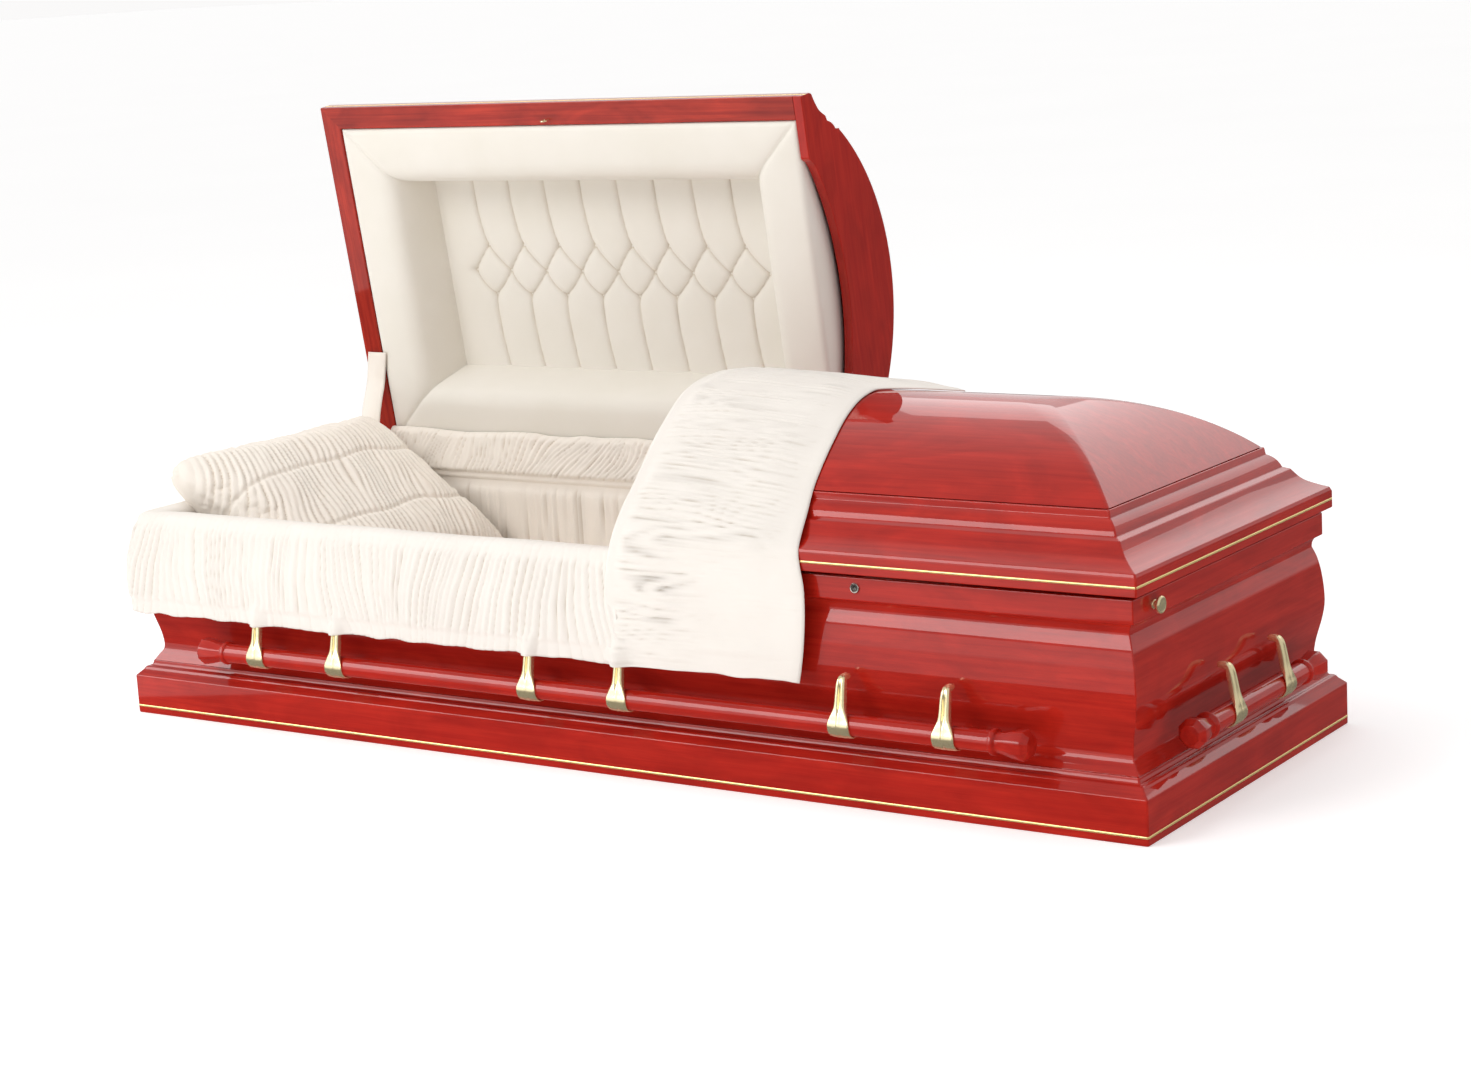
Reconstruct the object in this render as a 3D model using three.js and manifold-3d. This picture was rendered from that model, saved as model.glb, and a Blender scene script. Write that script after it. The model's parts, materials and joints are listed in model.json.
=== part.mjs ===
// A half-couch wooden casket: a moulded box on a plinth, a head lid standing open, a foot lid
// closed, and swing-bar handles on all four sides. Millimetres, +Z up, +X towards the foot end,
// -Y the front. The origin is the middle of the underside.
import * as THREE from 'three';
import { mergeVertices } from 'three/addons/utils/BufferGeometryUtils.js';
import Module from 'manifold-3d';

const wasm = await Module();
wasm.setup();

// Driving dimensions. An inset is the distance inwards from the plinth's outer face.
const LENGTH = 2110;
const WIDTH = 762.3;
const GAP = 0.3;
const WALL_INSET = 60;
const WALL_BACK = 38;
const PLINTH_TOP = 98;
const PANEL_TOP = 331;
const RAIL_INSET = 28;
const RAIL_TOP = 370;
const BOTTOM_THICK = 18;
const LINING_THICK = 16;
const LINING_TOP = 366;
const MATTRESS_TOP = 180;

const LID_BOTTOM = 377;
const NOSE_INSET = 14.7;
const RIM_INNER = 58;
const RIM_TOP = 489;
const CROWN_INSET = 100;
const CROWN_TOP = 605;
const CROWN_RADIUS = 398;
const CROWN_THICK = 16;
const CROWN_STEPS = 6;
const LID_CUT = 100;
const LID_PARTING = 4;
const HEADER_THICK = 18;
const HEADER_SHOULDER = 126;
const HEADER_ARCH = 450;
const LID_HINGE_INSET = 28;
const LID_HINGE_Z = 376;
const LID_OPEN_DEG = 81.4;
const PAD_EDGE_Z = 380;
const PAD_BOTTOM = 376;
const PAD_WIDTH = 130;
const PANEL_DEPTH_Z = 494;
const TUFT_THICK = 12;

const EAR_INSET = 2;
const EAR_BOTTOM = 192;
const EAR_TOP = 290;
const EAR_WIDTH = 300;
const EAR_PITCH = 625;
const PIVOT_INSET = 9.2;
const PIVOT_Z = 213;
const BAR_OUT = 5;
const BAR_Z = 138;
const BAR_RADIUS = 17.5;
const ARM_SPREAD = 95;
const ARM_WIDTH = 16;
const CLAMP_WIDTH = 40;
const CLAMP_RADIUS = 21.4;
const SLOT_WIDTH = 19;
const KNOB_LENGTH = 64;
const LONG_BAR = 1734;
const SHORT_BAR = 486;

const APRON_END = 95;
const APRON_RETURN = 150;
const APRON_HEM = 228;
const CLOTH_THICK = 3;
const THROW_START = 106;
const THROW_END = 449;
const THROW_BACK = 95;

const CENTRE_INSET = WIDTH / 2;
const CROWN_CENTRE_Z = CROWN_TOP - CROWN_RADIUS;

const lacquer = new THREE.MeshStandardMaterial({ color: 0xa8302a, roughness: 0.18 });
const brass = new THREE.MeshStandardMaterial({ color: 0xe0cf90, roughness: 0.25, metalness: 1 });
const nickel = new THREE.MeshStandardMaterial({ color: 0xb9b4ad, roughness: 0.25, metalness: 1 });
const cream = new THREE.MeshStandardMaterial({ color: 0xf2e9dc, roughness: 0.85 });

const casket = new THREE.Group();

function addMesh(name, geometry, material, group = casket) {
  const mesh = new THREE.Mesh(geometry, material);
  mesh.name = name;
  group.add(mesh);
  return mesh;
}

function solidFrom(geometry) {
  const bare = geometry.clone();
  bare.deleteAttribute('normal');
  bare.deleteAttribute('uv');
  const merged = mergeVertices(bare, 1e-4);
  return new wasm.Manifold(
    new wasm.Mesh({
      numProp: 3,
      vertProperties: new Float32Array(merged.attributes.position.array),
      triVerts: new Uint32Array(merged.index.array),
    }),
  );
}

function geometryFrom(solid) {
  const mesh = solid.getMesh();
  const geometry = new THREE.BufferGeometry();
  geometry.setAttribute('position', new THREE.BufferAttribute(mesh.vertProperties, 3));
  geometry.setIndex(new THREE.BufferAttribute(mesh.triVerts, 1));
  return geometry;
}

// The four sides of the casket. Inward points to the middle; a run goes along inward x up.
const SIDES = {
  front: { inward: new THREE.Vector3(0, 1, 0), reach: WIDTH / 2, half: LENGTH / 2 },
  back: { inward: new THREE.Vector3(0, -1, 0), reach: WIDTH / 2, half: LENGTH / 2 },
  head: { inward: new THREE.Vector3(1, 0, 0), reach: LENGTH / 2, half: WIDTH / 2 },
  foot: { inward: new THREE.Vector3(-1, 0, 0), reach: LENGTH / 2, half: WIDTH / 2 },
};
const UP = new THREE.Vector3(0, 0, 1);

// Places a shape drawn as (inset, height) on a side and runs it between two ends, each given
// as a function of the inset, so that a mitred end slopes with the section.
function run(shape, sideName, startAt, endAt, curveSegments = 3) {
  const side = SIDES[sideName];
  const along = new THREE.Vector3().crossVectors(side.inward, UP);
  const geometry = new THREE.ExtrudeGeometry(shape, {
    depth: 1,
    steps: 1,
    bevelEnabled: false,
    curveSegments,
  });
  const position = geometry.attributes.position;
  const point = new THREE.Vector3();
  for (let i = 0; i < position.count; i += 1) {
    const inset = position.getX(i);
    const height = position.getY(i);
    const t = position.getZ(i) < 0.5 ? startAt(inset) : endAt(inset);
    point.copy(side.inward).multiplyScalar(inset - side.reach);
    point.addScaledVector(along, t).addScaledVector(UP, height);
    position.setXYZ(i, point.x, point.y, point.z);
  }
  geometry.computeVertexNormals();
  return geometry;
}

const mitreStart = (side) => (inset) => -(SIDES[side].half - inset) + GAP / 2;
const mitreEnd = (side) => (inset) => SIDES[side].half - inset - GAP / 2;

function mitred(shape, side) {
  return run(shape, side, mitreStart(side), mitreEnd(side));
}

// Plinth moulding: upright face, chamfer, bead and a hollow up to the side panel.
function plinthShape() {
  const shape = new THREE.Shape();
  shape.moveTo(2.5, 0);
  shape.quadraticCurveTo(0, 0, 0, 2.5);
  shape.lineTo(0, 72);
  shape.lineTo(12, 84);
  shape.lineTo(19, 88);
  shape.lineTo(22, 90);
  shape.lineTo(25, PLINTH_TOP);
  shape.lineTo(WALL_BACK, PLINTH_TOP);
  shape.lineTo(WALL_BACK, 0);
  return shape;
}

// Side panel: a waist above the plinth, an ogee swelling to the bulge, and a cove under the rail.
function panelShape() {
  const shape = new THREE.Shape();
  shape.moveTo(WALL_BACK + GAP, 0);
  shape.lineTo(WALL_BACK + GAP, PLINTH_TOP + GAP);
  shape.lineTo(26.5, PLINTH_TOP + GAP);
  shape.splineThru([
    new THREE.Vector2(33, 108),
    new THREE.Vector2(41, 122),
    new THREE.Vector2(39, 150),
    new THREE.Vector2(30, 190),
    new THREE.Vector2(26.5, 220),
    new THREE.Vector2(29, 260),
    new THREE.Vector2(34.5, 292),
    new THREE.Vector2(41.5, 313),
  ]);
  shape.quadraticCurveTo(42, 327, 32, PANEL_TOP);
  shape.lineTo(WALL_INSET, PANEL_TOP);
  shape.lineTo(WALL_INSET, 0);
  return shape;
}

function railShape() {
  const shape = new THREE.Shape();
  shape.moveTo(RAIL_INSET, PANEL_TOP + GAP);
  shape.lineTo(RAIL_INSET, RAIL_TOP - 3);
  shape.quadraticCurveTo(RAIL_INSET, RAIL_TOP, RAIL_INSET + 3, RAIL_TOP);
  shape.lineTo(WALL_INSET, RAIL_TOP);
  shape.lineTo(WALL_INSET, PANEL_TOP + GAP);
  return shape;
}

for (const side of Object.keys(SIDES)) {
  addMesh(`base_moulding_${side}`, mitred(plinthShape(), side), lacquer);
  addMesh(`side_panel_${side}`, mitred(panelShape(), side), lacquer);
  addMesh(`top_rail_${side}`, mitred(railShape(), side), lacquer);
}

function block(low, high) {
  const size = new THREE.Vector3().subVectors(high, low);
  const geometry = new THREE.BoxGeometry(size.x, size.y, size.z);
  return geometry.translate(low.x + size.x / 2, low.y + size.y / 2, low.z + size.z / 2);
}

function insetBlock(inset, zLow, zHigh) {
  const x = LENGTH / 2 - inset;
  const y = WIDTH / 2 - inset;
  return block(new THREE.Vector3(-x, -y, zLow), new THREE.Vector3(x, y, zHigh));
}

addMesh('bottom_board', insetBlock(WALL_INSET + GAP, 0, BOTTOM_THICK), lacquer);

// Padded lining of the box: a sleeve that stands on the bottom board against the four walls.
const sleeve = solidFrom(insetBlock(WALL_INSET + GAP, BOTTOM_THICK + GAP, LINING_TOP));
const sleeveHollow = solidFrom(insetBlock(WALL_INSET + LINING_THICK, 0, LINING_TOP + 1));
addMesh('body_lining', geometryFrom(sleeve.subtract(sleeveHollow)), cream);
addMesh(
  'mattress',
  insetBlock(WALL_INSET + LINING_THICK + 1, BOTTOM_THICK + GAP, MATTRESS_TOP),
  cream,
);

// Extrudes a shape drawn as (x, z) across the casket, centred on Y.
function across(shape, width, curveSegments = 3) {
  const geometry = new THREE.ExtrudeGeometry(shape, {
    depth: width,
    steps: 1,
    bevelEnabled: false,
    curveSegments,
  });
  return geometry.rotateX(Math.PI / 2).translate(0, width / 2, 0);
}

// Extrudes a shape drawn as (y, z) lengthwise from x to x + length.
function lengthwise(shape, x, length, curveSegments = 3) {
  const geometry = new THREE.ExtrudeGeometry(shape, {
    depth: length,
    steps: 1,
    bevelEnabled: false,
    curveSegments,
  });
  const turn = new THREE.Matrix4().makeBasis(
    new THREE.Vector3(0, 1, 0),
    new THREE.Vector3(0, 0, 1),
    new THREE.Vector3(1, 0, 0),
  );
  return geometry.applyMatrix4(turn).translate(x, 0, 0);
}

// Pillow: leans on the head end with its lower edge on the mattress.
function pillowShape() {
  const shape = new THREE.Shape();
  shape.moveTo(-760, MATTRESS_TOP + GAP);
  shape.lineTo(-700, MATTRESS_TOP + GAP);
  shape.quadraticCurveTo(-672, 190, -684, 222);
  shape.lineTo(-930, 368);
  shape.quadraticCurveTo(-976, 374, -976, 340);
  shape.lineTo(-974, 318);
  return shape;
}
addMesh('pillow', across(pillowShape(), 530, 3), cream);

// Wooden ears that carry the handle arms: rounded shoulders, pinched sides, a scalloped lower
// edge, and two slots for the arms. The back is cut to the side panel's section.
function earShape() {
  const w = EAR_WIDTH / 2;
  const h = EAR_TOP - EAR_BOTTOM;
  const shape = new THREE.Shape();
  shape.moveTo(-w + 14, 0);
  shape.bezierCurveTo(-w + 26, 26, -w + 20, 40, -w + 6, 52);
  shape.quadraticCurveTo(-w - 3, 62, -w, h - 16);
  shape.quadraticCurveTo(-w, h, -w + 16, h);
  shape.lineTo(w - 16, h);
  shape.quadraticCurveTo(w, h, w, h - 16);
  shape.quadraticCurveTo(w + 3, 62, w - 6, 52);
  shape.bezierCurveTo(w - 20, 40, w - 26, 26, w - 14, 0);
  shape.bezierCurveTo(w - 60, -3, 52, -2, 40, 2);
  shape.quadraticCurveTo(22, 13, 0, 13);
  shape.quadraticCurveTo(-22, 13, -40, 2);
  shape.bezierCurveTo(-52, -2, -w + 60, -3, -w + 14, 0);
  return shape;
}

function earGeometry() {
  const depth = WALL_BACK - EAR_INSET;
  const plate = new THREE.ExtrudeGeometry(earShape(), {
    depth,
    steps: 1,
    bevelEnabled: false,
    curveSegments: 3,
  });
  plate.rotateX(Math.PI / 2).translate(0, EAR_INSET + depth - WIDTH / 2, EAR_BOTTOM);
  let ear = solidFrom(plate);
  const panel = solidFrom(run(panelShape(), 'front', () => -EAR_WIDTH, () => EAR_WIDTH));
  ear = ear.subtract(panel.translate([0, -GAP, 0]));
  for (const x of [-ARM_SPREAD, ARM_SPREAD]) {
    const slot = block(
      new THREE.Vector3(x - SLOT_WIDTH / 2, -WIDTH / 2, PIVOT_Z - 8),
      new THREE.Vector3(x + SLOT_WIDTH / 2, WALL_BACK - WIDTH / 2, PIVOT_Z + 12),
    );
    ear = ear.subtract(solidFrom(slot));
  }
  return geometryFrom(ear);
}

// Swing arm of brass, drawn as (outwards, up) from its pivot: an eye in the ear's slot, a neck,
// a shank, and a strap that curls round the front and underside of the bar.
function armGeometry() {
  const barOut = BAR_OUT + PIVOT_INSET;
  const barDown = BAR_Z - PIVOT_Z;
  const facetHalfAngle = THREE.MathUtils.degToRad(19);
  const bore = (BAR_RADIUS + GAP) / Math.cos(facetHalfAngle);
  const shankAngle = THREE.MathUtils.degToRad(38);
  const curlAngle = THREE.MathUtils.degToRad(-125);
  const arm = new THREE.Shape();
  arm.moveTo(0, -5.6);
  arm.absarc(0, 0, 5.6, -Math.PI / 2, Math.PI / 2, true);
  arm.lineTo(9, 5.6);
  arm.quadraticCurveTo(20, 5, 25, -4);
  arm.lineTo(
    barOut + CLAMP_RADIUS * Math.cos(shankAngle),
    barDown + CLAMP_RADIUS * Math.sin(shankAngle),
  );
  arm.lineTo(barOut - 6, barDown + CLAMP_RADIUS + 2);
  arm.lineTo(13, -8);
  arm.quadraticCurveTo(11, -5.6, 8, -5.6);
  const strap = new THREE.Shape();
  strap.absarc(barOut, barDown, CLAMP_RADIUS, Math.PI / 3, curlAngle, true);
  strap.absarc(barOut, barDown, bore, curlAngle, Math.PI / 3, false);
  const parts = [[arm, ARM_WIDTH], [strap, CLAMP_WIDTH]].map(([shape, width]) => {
    const geometry = new THREE.ExtrudeGeometry(shape, {
      depth: width,
      steps: 1,
      bevelEnabled: false,
      curveSegments: 3,
    });
    return solidFrom(geometry.translate(0, 0, -width / 2));
  });
  const turn = new THREE.Matrix4().makeBasis(
    new THREE.Vector3(0, -1, 0),
    new THREE.Vector3(0, 0, 1),
    new THREE.Vector3(-1, 0, 0),
  );
  return geometryFrom(parts[0].add(parts[1])).applyMatrix4(turn);
}

// A bar of turned wood with a collar and an eight-sided flared knob at each end, along X.
function barGeometry(length) {
  const shoulder = length / 2 - KNOB_LENGTH;
  const rod = [
    [0, -shoulder - 4], [21.5, -shoulder - 4], [21.5, -shoulder + 4], [BAR_RADIUS, -shoulder + 6],
    [BAR_RADIUS, shoulder - 6], [21.5, shoulder - 4], [21.5, shoulder + 4], [0, shoulder + 4],
  ];
  const knob = [[0, -2], [17, -2], [18, 12], [24.5, 26], [24.5, 50], [17, 60], [0, 60]];
  const lathe = (points, sides) =>
    new THREE.LatheGeometry(points.map(([r, y]) => new THREE.Vector2(r, y)), sides);
  let bar = solidFrom(lathe(rod, 12));
  for (const turn of [1, -1]) {
    const end = lathe(knob, 8).rotateY(Math.PI / 8).translate(0, shoulder + 4, 0);
    if (turn < 0) {
      end.rotateX(Math.PI);
    }
    bar = bar.add(solidFrom(end));
  }
  return geometryFrom(bar).rotateZ(-Math.PI / 2);
}

// One side's ears, arms and bar are made for the front and turned round to the other sides.
const EAR_PLACES = { front: [-1, 0, 1], back: [-1, 0, 1], head: [0], foot: [0] };
const TURNS = { front: 0, foot: 1, back: 2, head: 3 };
const earMesh = earGeometry();
const armMesh = armGeometry();
for (const [side, places] of Object.entries(EAR_PLACES)) {
  const group = new THREE.Group();
  group.rotation.z = (TURNS[side] * Math.PI) / 2;
  casket.add(group);
  const shift = WIDTH / 2 - SIDES[side].reach;
  places.forEach((place, i) => {
    const ear = addMesh(`ear_${side}_${i + 1}`, earMesh, lacquer, group);
    ear.position.set(place * EAR_PITCH, shift, 0);
    [-1, 1].forEach((hand, j) => {
      const name = `arm_${side}_${2 * i + j + 1}`;
      const arm = addMesh(name, armMesh, brass, group);
      const x = place * EAR_PITCH + hand * ARM_SPREAD;
      arm.position.set(x, PIVOT_INSET - SIDES[side].reach, PIVOT_Z);
    });
  });
  const length = places.length > 1 ? LONG_BAR : SHORT_BAR;
  const bar = addMesh(`bar_${side}`, barGeometry(length), lacquer, group);
  bar.position.set(0, -SIDES[side].reach - BAR_OUT, BAR_Z);
}

// Lock escutcheon on the front rail and turned knob on the foot end's rail.
const ESCUTCHEON = { x: 542, z: 353, radius: 8.5, thick: 3 };
const plate = new THREE.CylinderGeometry(
  ESCUTCHEON.radius, ESCUTCHEON.radius, ESCUTCHEON.thick, 20,
);
addMesh('lock_escutcheon', plate, nickel).position.set(
  ESCUTCHEON.x,
  RAIL_INSET - GAP - ESCUTCHEON.thick / 2 - WIDTH / 2,
  ESCUTCHEON.z,
);
const END_KNOB = { y: -285, z: 350 };
const knobProfile = [[0, 0], [8, 0], [8, 3], [6, 4], [6, 7], [13, 9], [14, 12], [12, 16], [0, 17]];
const endKnob = new THREE.LatheGeometry(
  knobProfile.map(([r, y]) => new THREE.Vector2(r, y)),
  16,
);
const endKnobMesh = addMesh('end_knob', endKnob, brass);
endKnobMesh.rotation.z = -Math.PI / 2;
endKnobMesh.position.set(LENGTH / 2 - RAIL_INSET + GAP, END_KNOB.y, END_KNOB.z);

// Lid rim moulding: nose, bevel, hollow, step, ogee and the ledge that the crown stands on.
function rimOutside(shape) {
  shape.lineTo(NOSE_INSET, 405);
  shape.lineTo(17.7, 412);
  shape.splineThru([
    new THREE.Vector2(35, 420),
    new THREE.Vector2(52, 431),
    new THREE.Vector2(66, 449),
  ]);
  shape.lineTo(76, 453);
  shape.quadraticCurveTo(82, 470, 96, 477);
  shape.lineTo(98, RIM_TOP);
}

function rimShape() {
  const shape = new THREE.Shape();
  shape.moveTo(NOSE_INSET, LID_BOTTOM);
  rimOutside(shape);
  shape.lineTo(120, RIM_TOP);
  shape.lineTo(120, 468);
  shape.lineTo(RIM_INNER, 415);
  shape.lineTo(RIM_INNER, LID_BOTTOM);
  return shape;
}

// The crown's section at a given radius, as (y, z) points over the whole width.
function crownArc(shape, radius, baseZ) {
  const start = Math.asin((baseZ - CROWN_CENTRE_Z) / radius);
  shape.absarc(0, CROWN_CENTRE_Z, radius, Math.PI - start, start, true);
}

// A crown block: the arch section run lengthwise, hipped by the same arch at the outer end.
function crownBlock(radius, baseZ, outerX, cutX) {
  const base = baseZ + GAP;
  const long = new THREE.Shape();
  crownArc(long, radius, base);
  const low = Math.min(outerX, cutX);
  const lengthPart = solidFrom(lengthwise(long, low, Math.abs(outerX - cutX), CROWN_STEPS * 2));
  const toward = Math.sign(outerX);
  const hipX = outerX - toward * CENTRE_INSET;
  const start = Math.asin((base - CROWN_CENTRE_Z) / radius);
  const end = new THREE.Shape();
  if (toward > 0) {
    end.absarc(hipX, CROWN_CENTRE_Z, radius, start, Math.PI / 2, false);
  } else {
    end.absarc(hipX, CROWN_CENTRE_Z, radius, Math.PI - start, Math.PI / 2, true);
  }
  end.lineTo(cutX, CROWN_CENTRE_Z + radius);
  end.lineTo(cutX, base);
  return lengthPart.intersect(solidFrom(across(end, WIDTH, CROWN_STEPS)));
}

function crownGeometry(outerX, cutX) {
  const outer = crownBlock(CROWN_RADIUS, RIM_TOP, outerX, cutX);
  const inner = crownBlock(CROWN_RADIUS - CROWN_THICK, RIM_TOP - 1, outerX, cutX - Math.sign(outerX));
  return geometryFrom(outer.subtract(inner));
}

// Header board across a lid's cut end: the lid's own outline above, an arch below.
function headerShape() {
  const half = new THREE.Shape();
  half.moveTo(NOSE_INSET, LID_BOTTOM);
  rimOutside(half);
  const front = half.getPoints(3).map((p) => new THREE.Vector2(p.x - CENTRE_INSET, p.y));
  const shape = new THREE.Shape(front);
  crownArc(shape, CROWN_RADIUS, RIM_TOP);
  front.slice().reverse().forEach((p) => shape.lineTo(-p.x, p.y));
  const shoulder = CENTRE_INSET - HEADER_SHOULDER;
  const spring = shoulder - 22;
  shape.lineTo(shoulder, LID_BOTTOM);
  shape.quadraticCurveTo(shoulder - 6, LID_BOTTOM, shoulder - 12, 389);
  shape.lineTo(spring, 396);
  const rise = HEADER_ARCH - 396;
  const radius = (spring * spring + rise * rise) / (2 * rise);
  const swing = Math.asin(spring / radius);
  shape.absarc(0, HEADER_ARCH - radius, radius, Math.PI / 2 - swing, Math.PI / 2 + swing, false);
  shape.lineTo(-(shoulder - 12), 389);
  shape.quadraticCurveTo(-(shoulder - 6), LID_BOTTOM, -shoulder, LID_BOTTOM);
  return shape;
}

// A lid as it lies closed. Toward is +1 for the foot lid and -1 for the head lid.
function buildLid(name, toward, group) {
  const endSide = toward > 0 ? 'foot' : 'head';
  const cut = toward > 0 ? LID_CUT + LID_PARTING : LID_CUT;
  const headerFace = cut + toward * HEADER_THICK;
  const shellCut = headerFace + toward * GAP;
  const rim = rimShape();
  const lengthRun = (side, sign) => {
    const nearEnd = () => sign * shellCut;
    const outward = toward * sign;
    return outward > 0
      ? run(rim, side, nearEnd, mitreEnd(side))
      : run(rim, side, mitreStart(side), nearEnd);
  };
  addMesh(`${name}_rim_front`, lengthRun('front', 1), lacquer, group);
  addMesh(`${name}_rim_back`, lengthRun('back', -1), lacquer, group);
  addMesh(`${name}_rim_end`, mitred(rim, endSide), lacquer, group);
  addMesh(`${name}_crown`, crownGeometry((toward * LENGTH) / 2, shellCut), lacquer, group);
  const header = lengthwise(headerShape(), Math.min(cut, headerFace), HEADER_THICK, CROWN_STEPS);
  addMesh(`${name}_header`, header, lacquer, group);
  return headerFace;
}

const footLid = new THREE.Group();
casket.add(footLid);
buildLid('foot_lid', 1, footLid);

// The head lid stands open: everything in it turns about the hinge line at the back.
const hingeY = WIDTH / 2 - LID_HINGE_INSET;
const headLid = new THREE.Group();
headLid.position.set(0, hingeY, LID_HINGE_Z);
headLid.rotation.x = -THREE.MathUtils.degToRad(LID_OPEN_DEG);
casket.add(headLid);
const headParts = new THREE.Group();
headParts.position.set(0, -hingeY, -LID_HINGE_Z);
headLid.add(headParts);
const headerFace = buildLid('head_lid', -1, headParts);

// Padded border of the lid's lining: one roll on all four sides, mitred at the corners.
function padShape(edge) {
  const shape = new THREE.Shape();
  shape.moveTo(edge, PAD_EDGE_Z);
  shape.quadraticCurveTo(edge + 8, PAD_BOTTOM, edge + 30, PAD_BOTTOM);
  shape.lineTo(edge + 78, PAD_BOTTOM);
  shape.quadraticCurveTo(edge + 104, 378, edge + 114, 404);
  shape.quadraticCurveTo(edge + PAD_WIDTH, 450, edge + PAD_WIDTH, PANEL_DEPTH_Z);
  shape.lineTo(edge + 78, PANEL_DEPTH_Z);
  shape.lineTo(edge + 70, 473);
  shape.lineTo(edge + 61, 463);
  shape.lineTo(edge, 411);
  return shape;
}

const PAD_EDGE = RIM_INNER + 1;
const padX = headerFace - 1;
function padSolid() {
  const shape = padShape(PAD_EDGE);
  const toHeader = (inset) => padX - (inset - PAD_EDGE);
  const exact = (side) => [
    (inset) => -(SIDES[side].half - inset),
    (inset) => SIDES[side].half - inset,
  ];
  const frontRun = run(shape, 'front', exact('front')[0], toHeader, 4);
  const backRun = run(shape, 'back', (inset) => -toHeader(inset), exact('back')[1], 4);
  const headRun = run(shape, 'head', ...exact('head'), 4);
  const cutRun = run(shape, 'foot', ...exact('foot'), 4);
  cutRun.translate(padX + PAD_EDGE - LENGTH / 2, 0, 0);
  return [backRun, headRun, cutRun].reduce(
    (sum, geometry) => sum.add(solidFrom(geometry)),
    solidFrom(frontRun),
  );
}
addMesh('lid_lining_border', geometryFrom(padSolid()), cream, headParts);

// Tufted panel sunk in the middle of the lid's lining.
const tuftInset = PAD_EDGE + PAD_WIDTH + 1;
addMesh(
  'lid_tufted_panel',
  block(
    new THREE.Vector3(-LENGTH / 2 + tuftInset, -WIDTH / 2 + tuftInset, PANEL_DEPTH_Z - TUFT_THICK),
    new THREE.Vector3(padX - PAD_WIDTH - 1, WIDTH / 2 - tuftInset, PANEL_DEPTH_Z),
  ),
  cream,
  headParts,
);

// Apron of cloth over the front rail, with a short return round the corner at the head end.
function apronShape() {
  const inside = RAIL_TOP + GAP;
  const outside = inside + CLOTH_THICK;
  const faceInset = EAR_INSET - GAP;
  const shape = new THREE.Shape();
  shape.moveTo(WALL_INSET - 2, inside);
  shape.lineTo(RAIL_INSET - GAP, inside);
  shape.lineTo(faceInset, EAR_TOP);
  shape.lineTo(faceInset, APRON_HEM);
  shape.lineTo(faceInset - CLOTH_THICK, APRON_HEM);
  shape.lineTo(faceInset - CLOTH_THICK, EAR_TOP);
  shape.lineTo(RAIL_INSET - GAP - CLOTH_THICK, outside);
  shape.lineTo(WALL_INSET - 2, outside);
  return shape;
}
const apronFront = run(apronShape(), 'front', (inset) => inset - LENGTH / 2, () => APRON_END);
const apronHead = run(
  apronShape(),
  'head',
  () => WIDTH / 2 - WALL_INSET - APRON_RETURN,
  (inset) => WIDTH / 2 - inset,
);
addMesh('apron', geometryFrom(solidFrom(apronFront).add(solidFrom(apronHead))), cream);

// Throw of cloth over the foot lid: from just behind the ridge, over the crown and the rim, and
// down in front of the box.
function throwShape() {
  const layer = (out) => {
    const radius = CROWN_RADIUS + out;
    const start = Math.asin((RIM_TOP - CROWN_CENTRE_Z) / radius);
    const path = new THREE.Path();
    path.absarc(0, CROWN_CENTRE_Z, radius, Math.PI / 2 - THROW_BACK / radius, Math.PI - start, false);
    path.lineTo(CROWN_INSET - 3 - out - CENTRE_INSET, RIM_TOP + out);
    path.lineTo(NOSE_INSET - out - CENTRE_INSET - 1, 413 + out);
    path.lineTo(EAR_INSET - GAP - out - CENTRE_INSET, EAR_TOP);
    path.lineTo(EAR_INSET - GAP - out - CENTRE_INSET, APRON_HEM);
    return path.getPoints(8);
  };
  return new THREE.Shape([...layer(0.5), ...layer(0.5 + CLOTH_THICK).reverse()]);
}
addMesh('throw', lengthwise(throwShape(), THROW_START, THROW_END - THROW_START), cream, footLid);

export default casket;
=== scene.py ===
# %% [markdown]
# # A half-couch casket
# The casket is a moulded box on a plinth under two arched lids. The head lid stands open and
# shows its tufted lining, the foot lid is closed under a throw of gathered cloth, and bars of
# turned wood hang from brass arms on all four sides. The fixed frame that is loaded here gives
# every size that matters; each cell below dresses one part of it with a finer surface.

# %% Load the frame
import json
import math

import bmesh
import bpy
import numpy as np
from mathutils import Matrix, Vector


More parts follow.
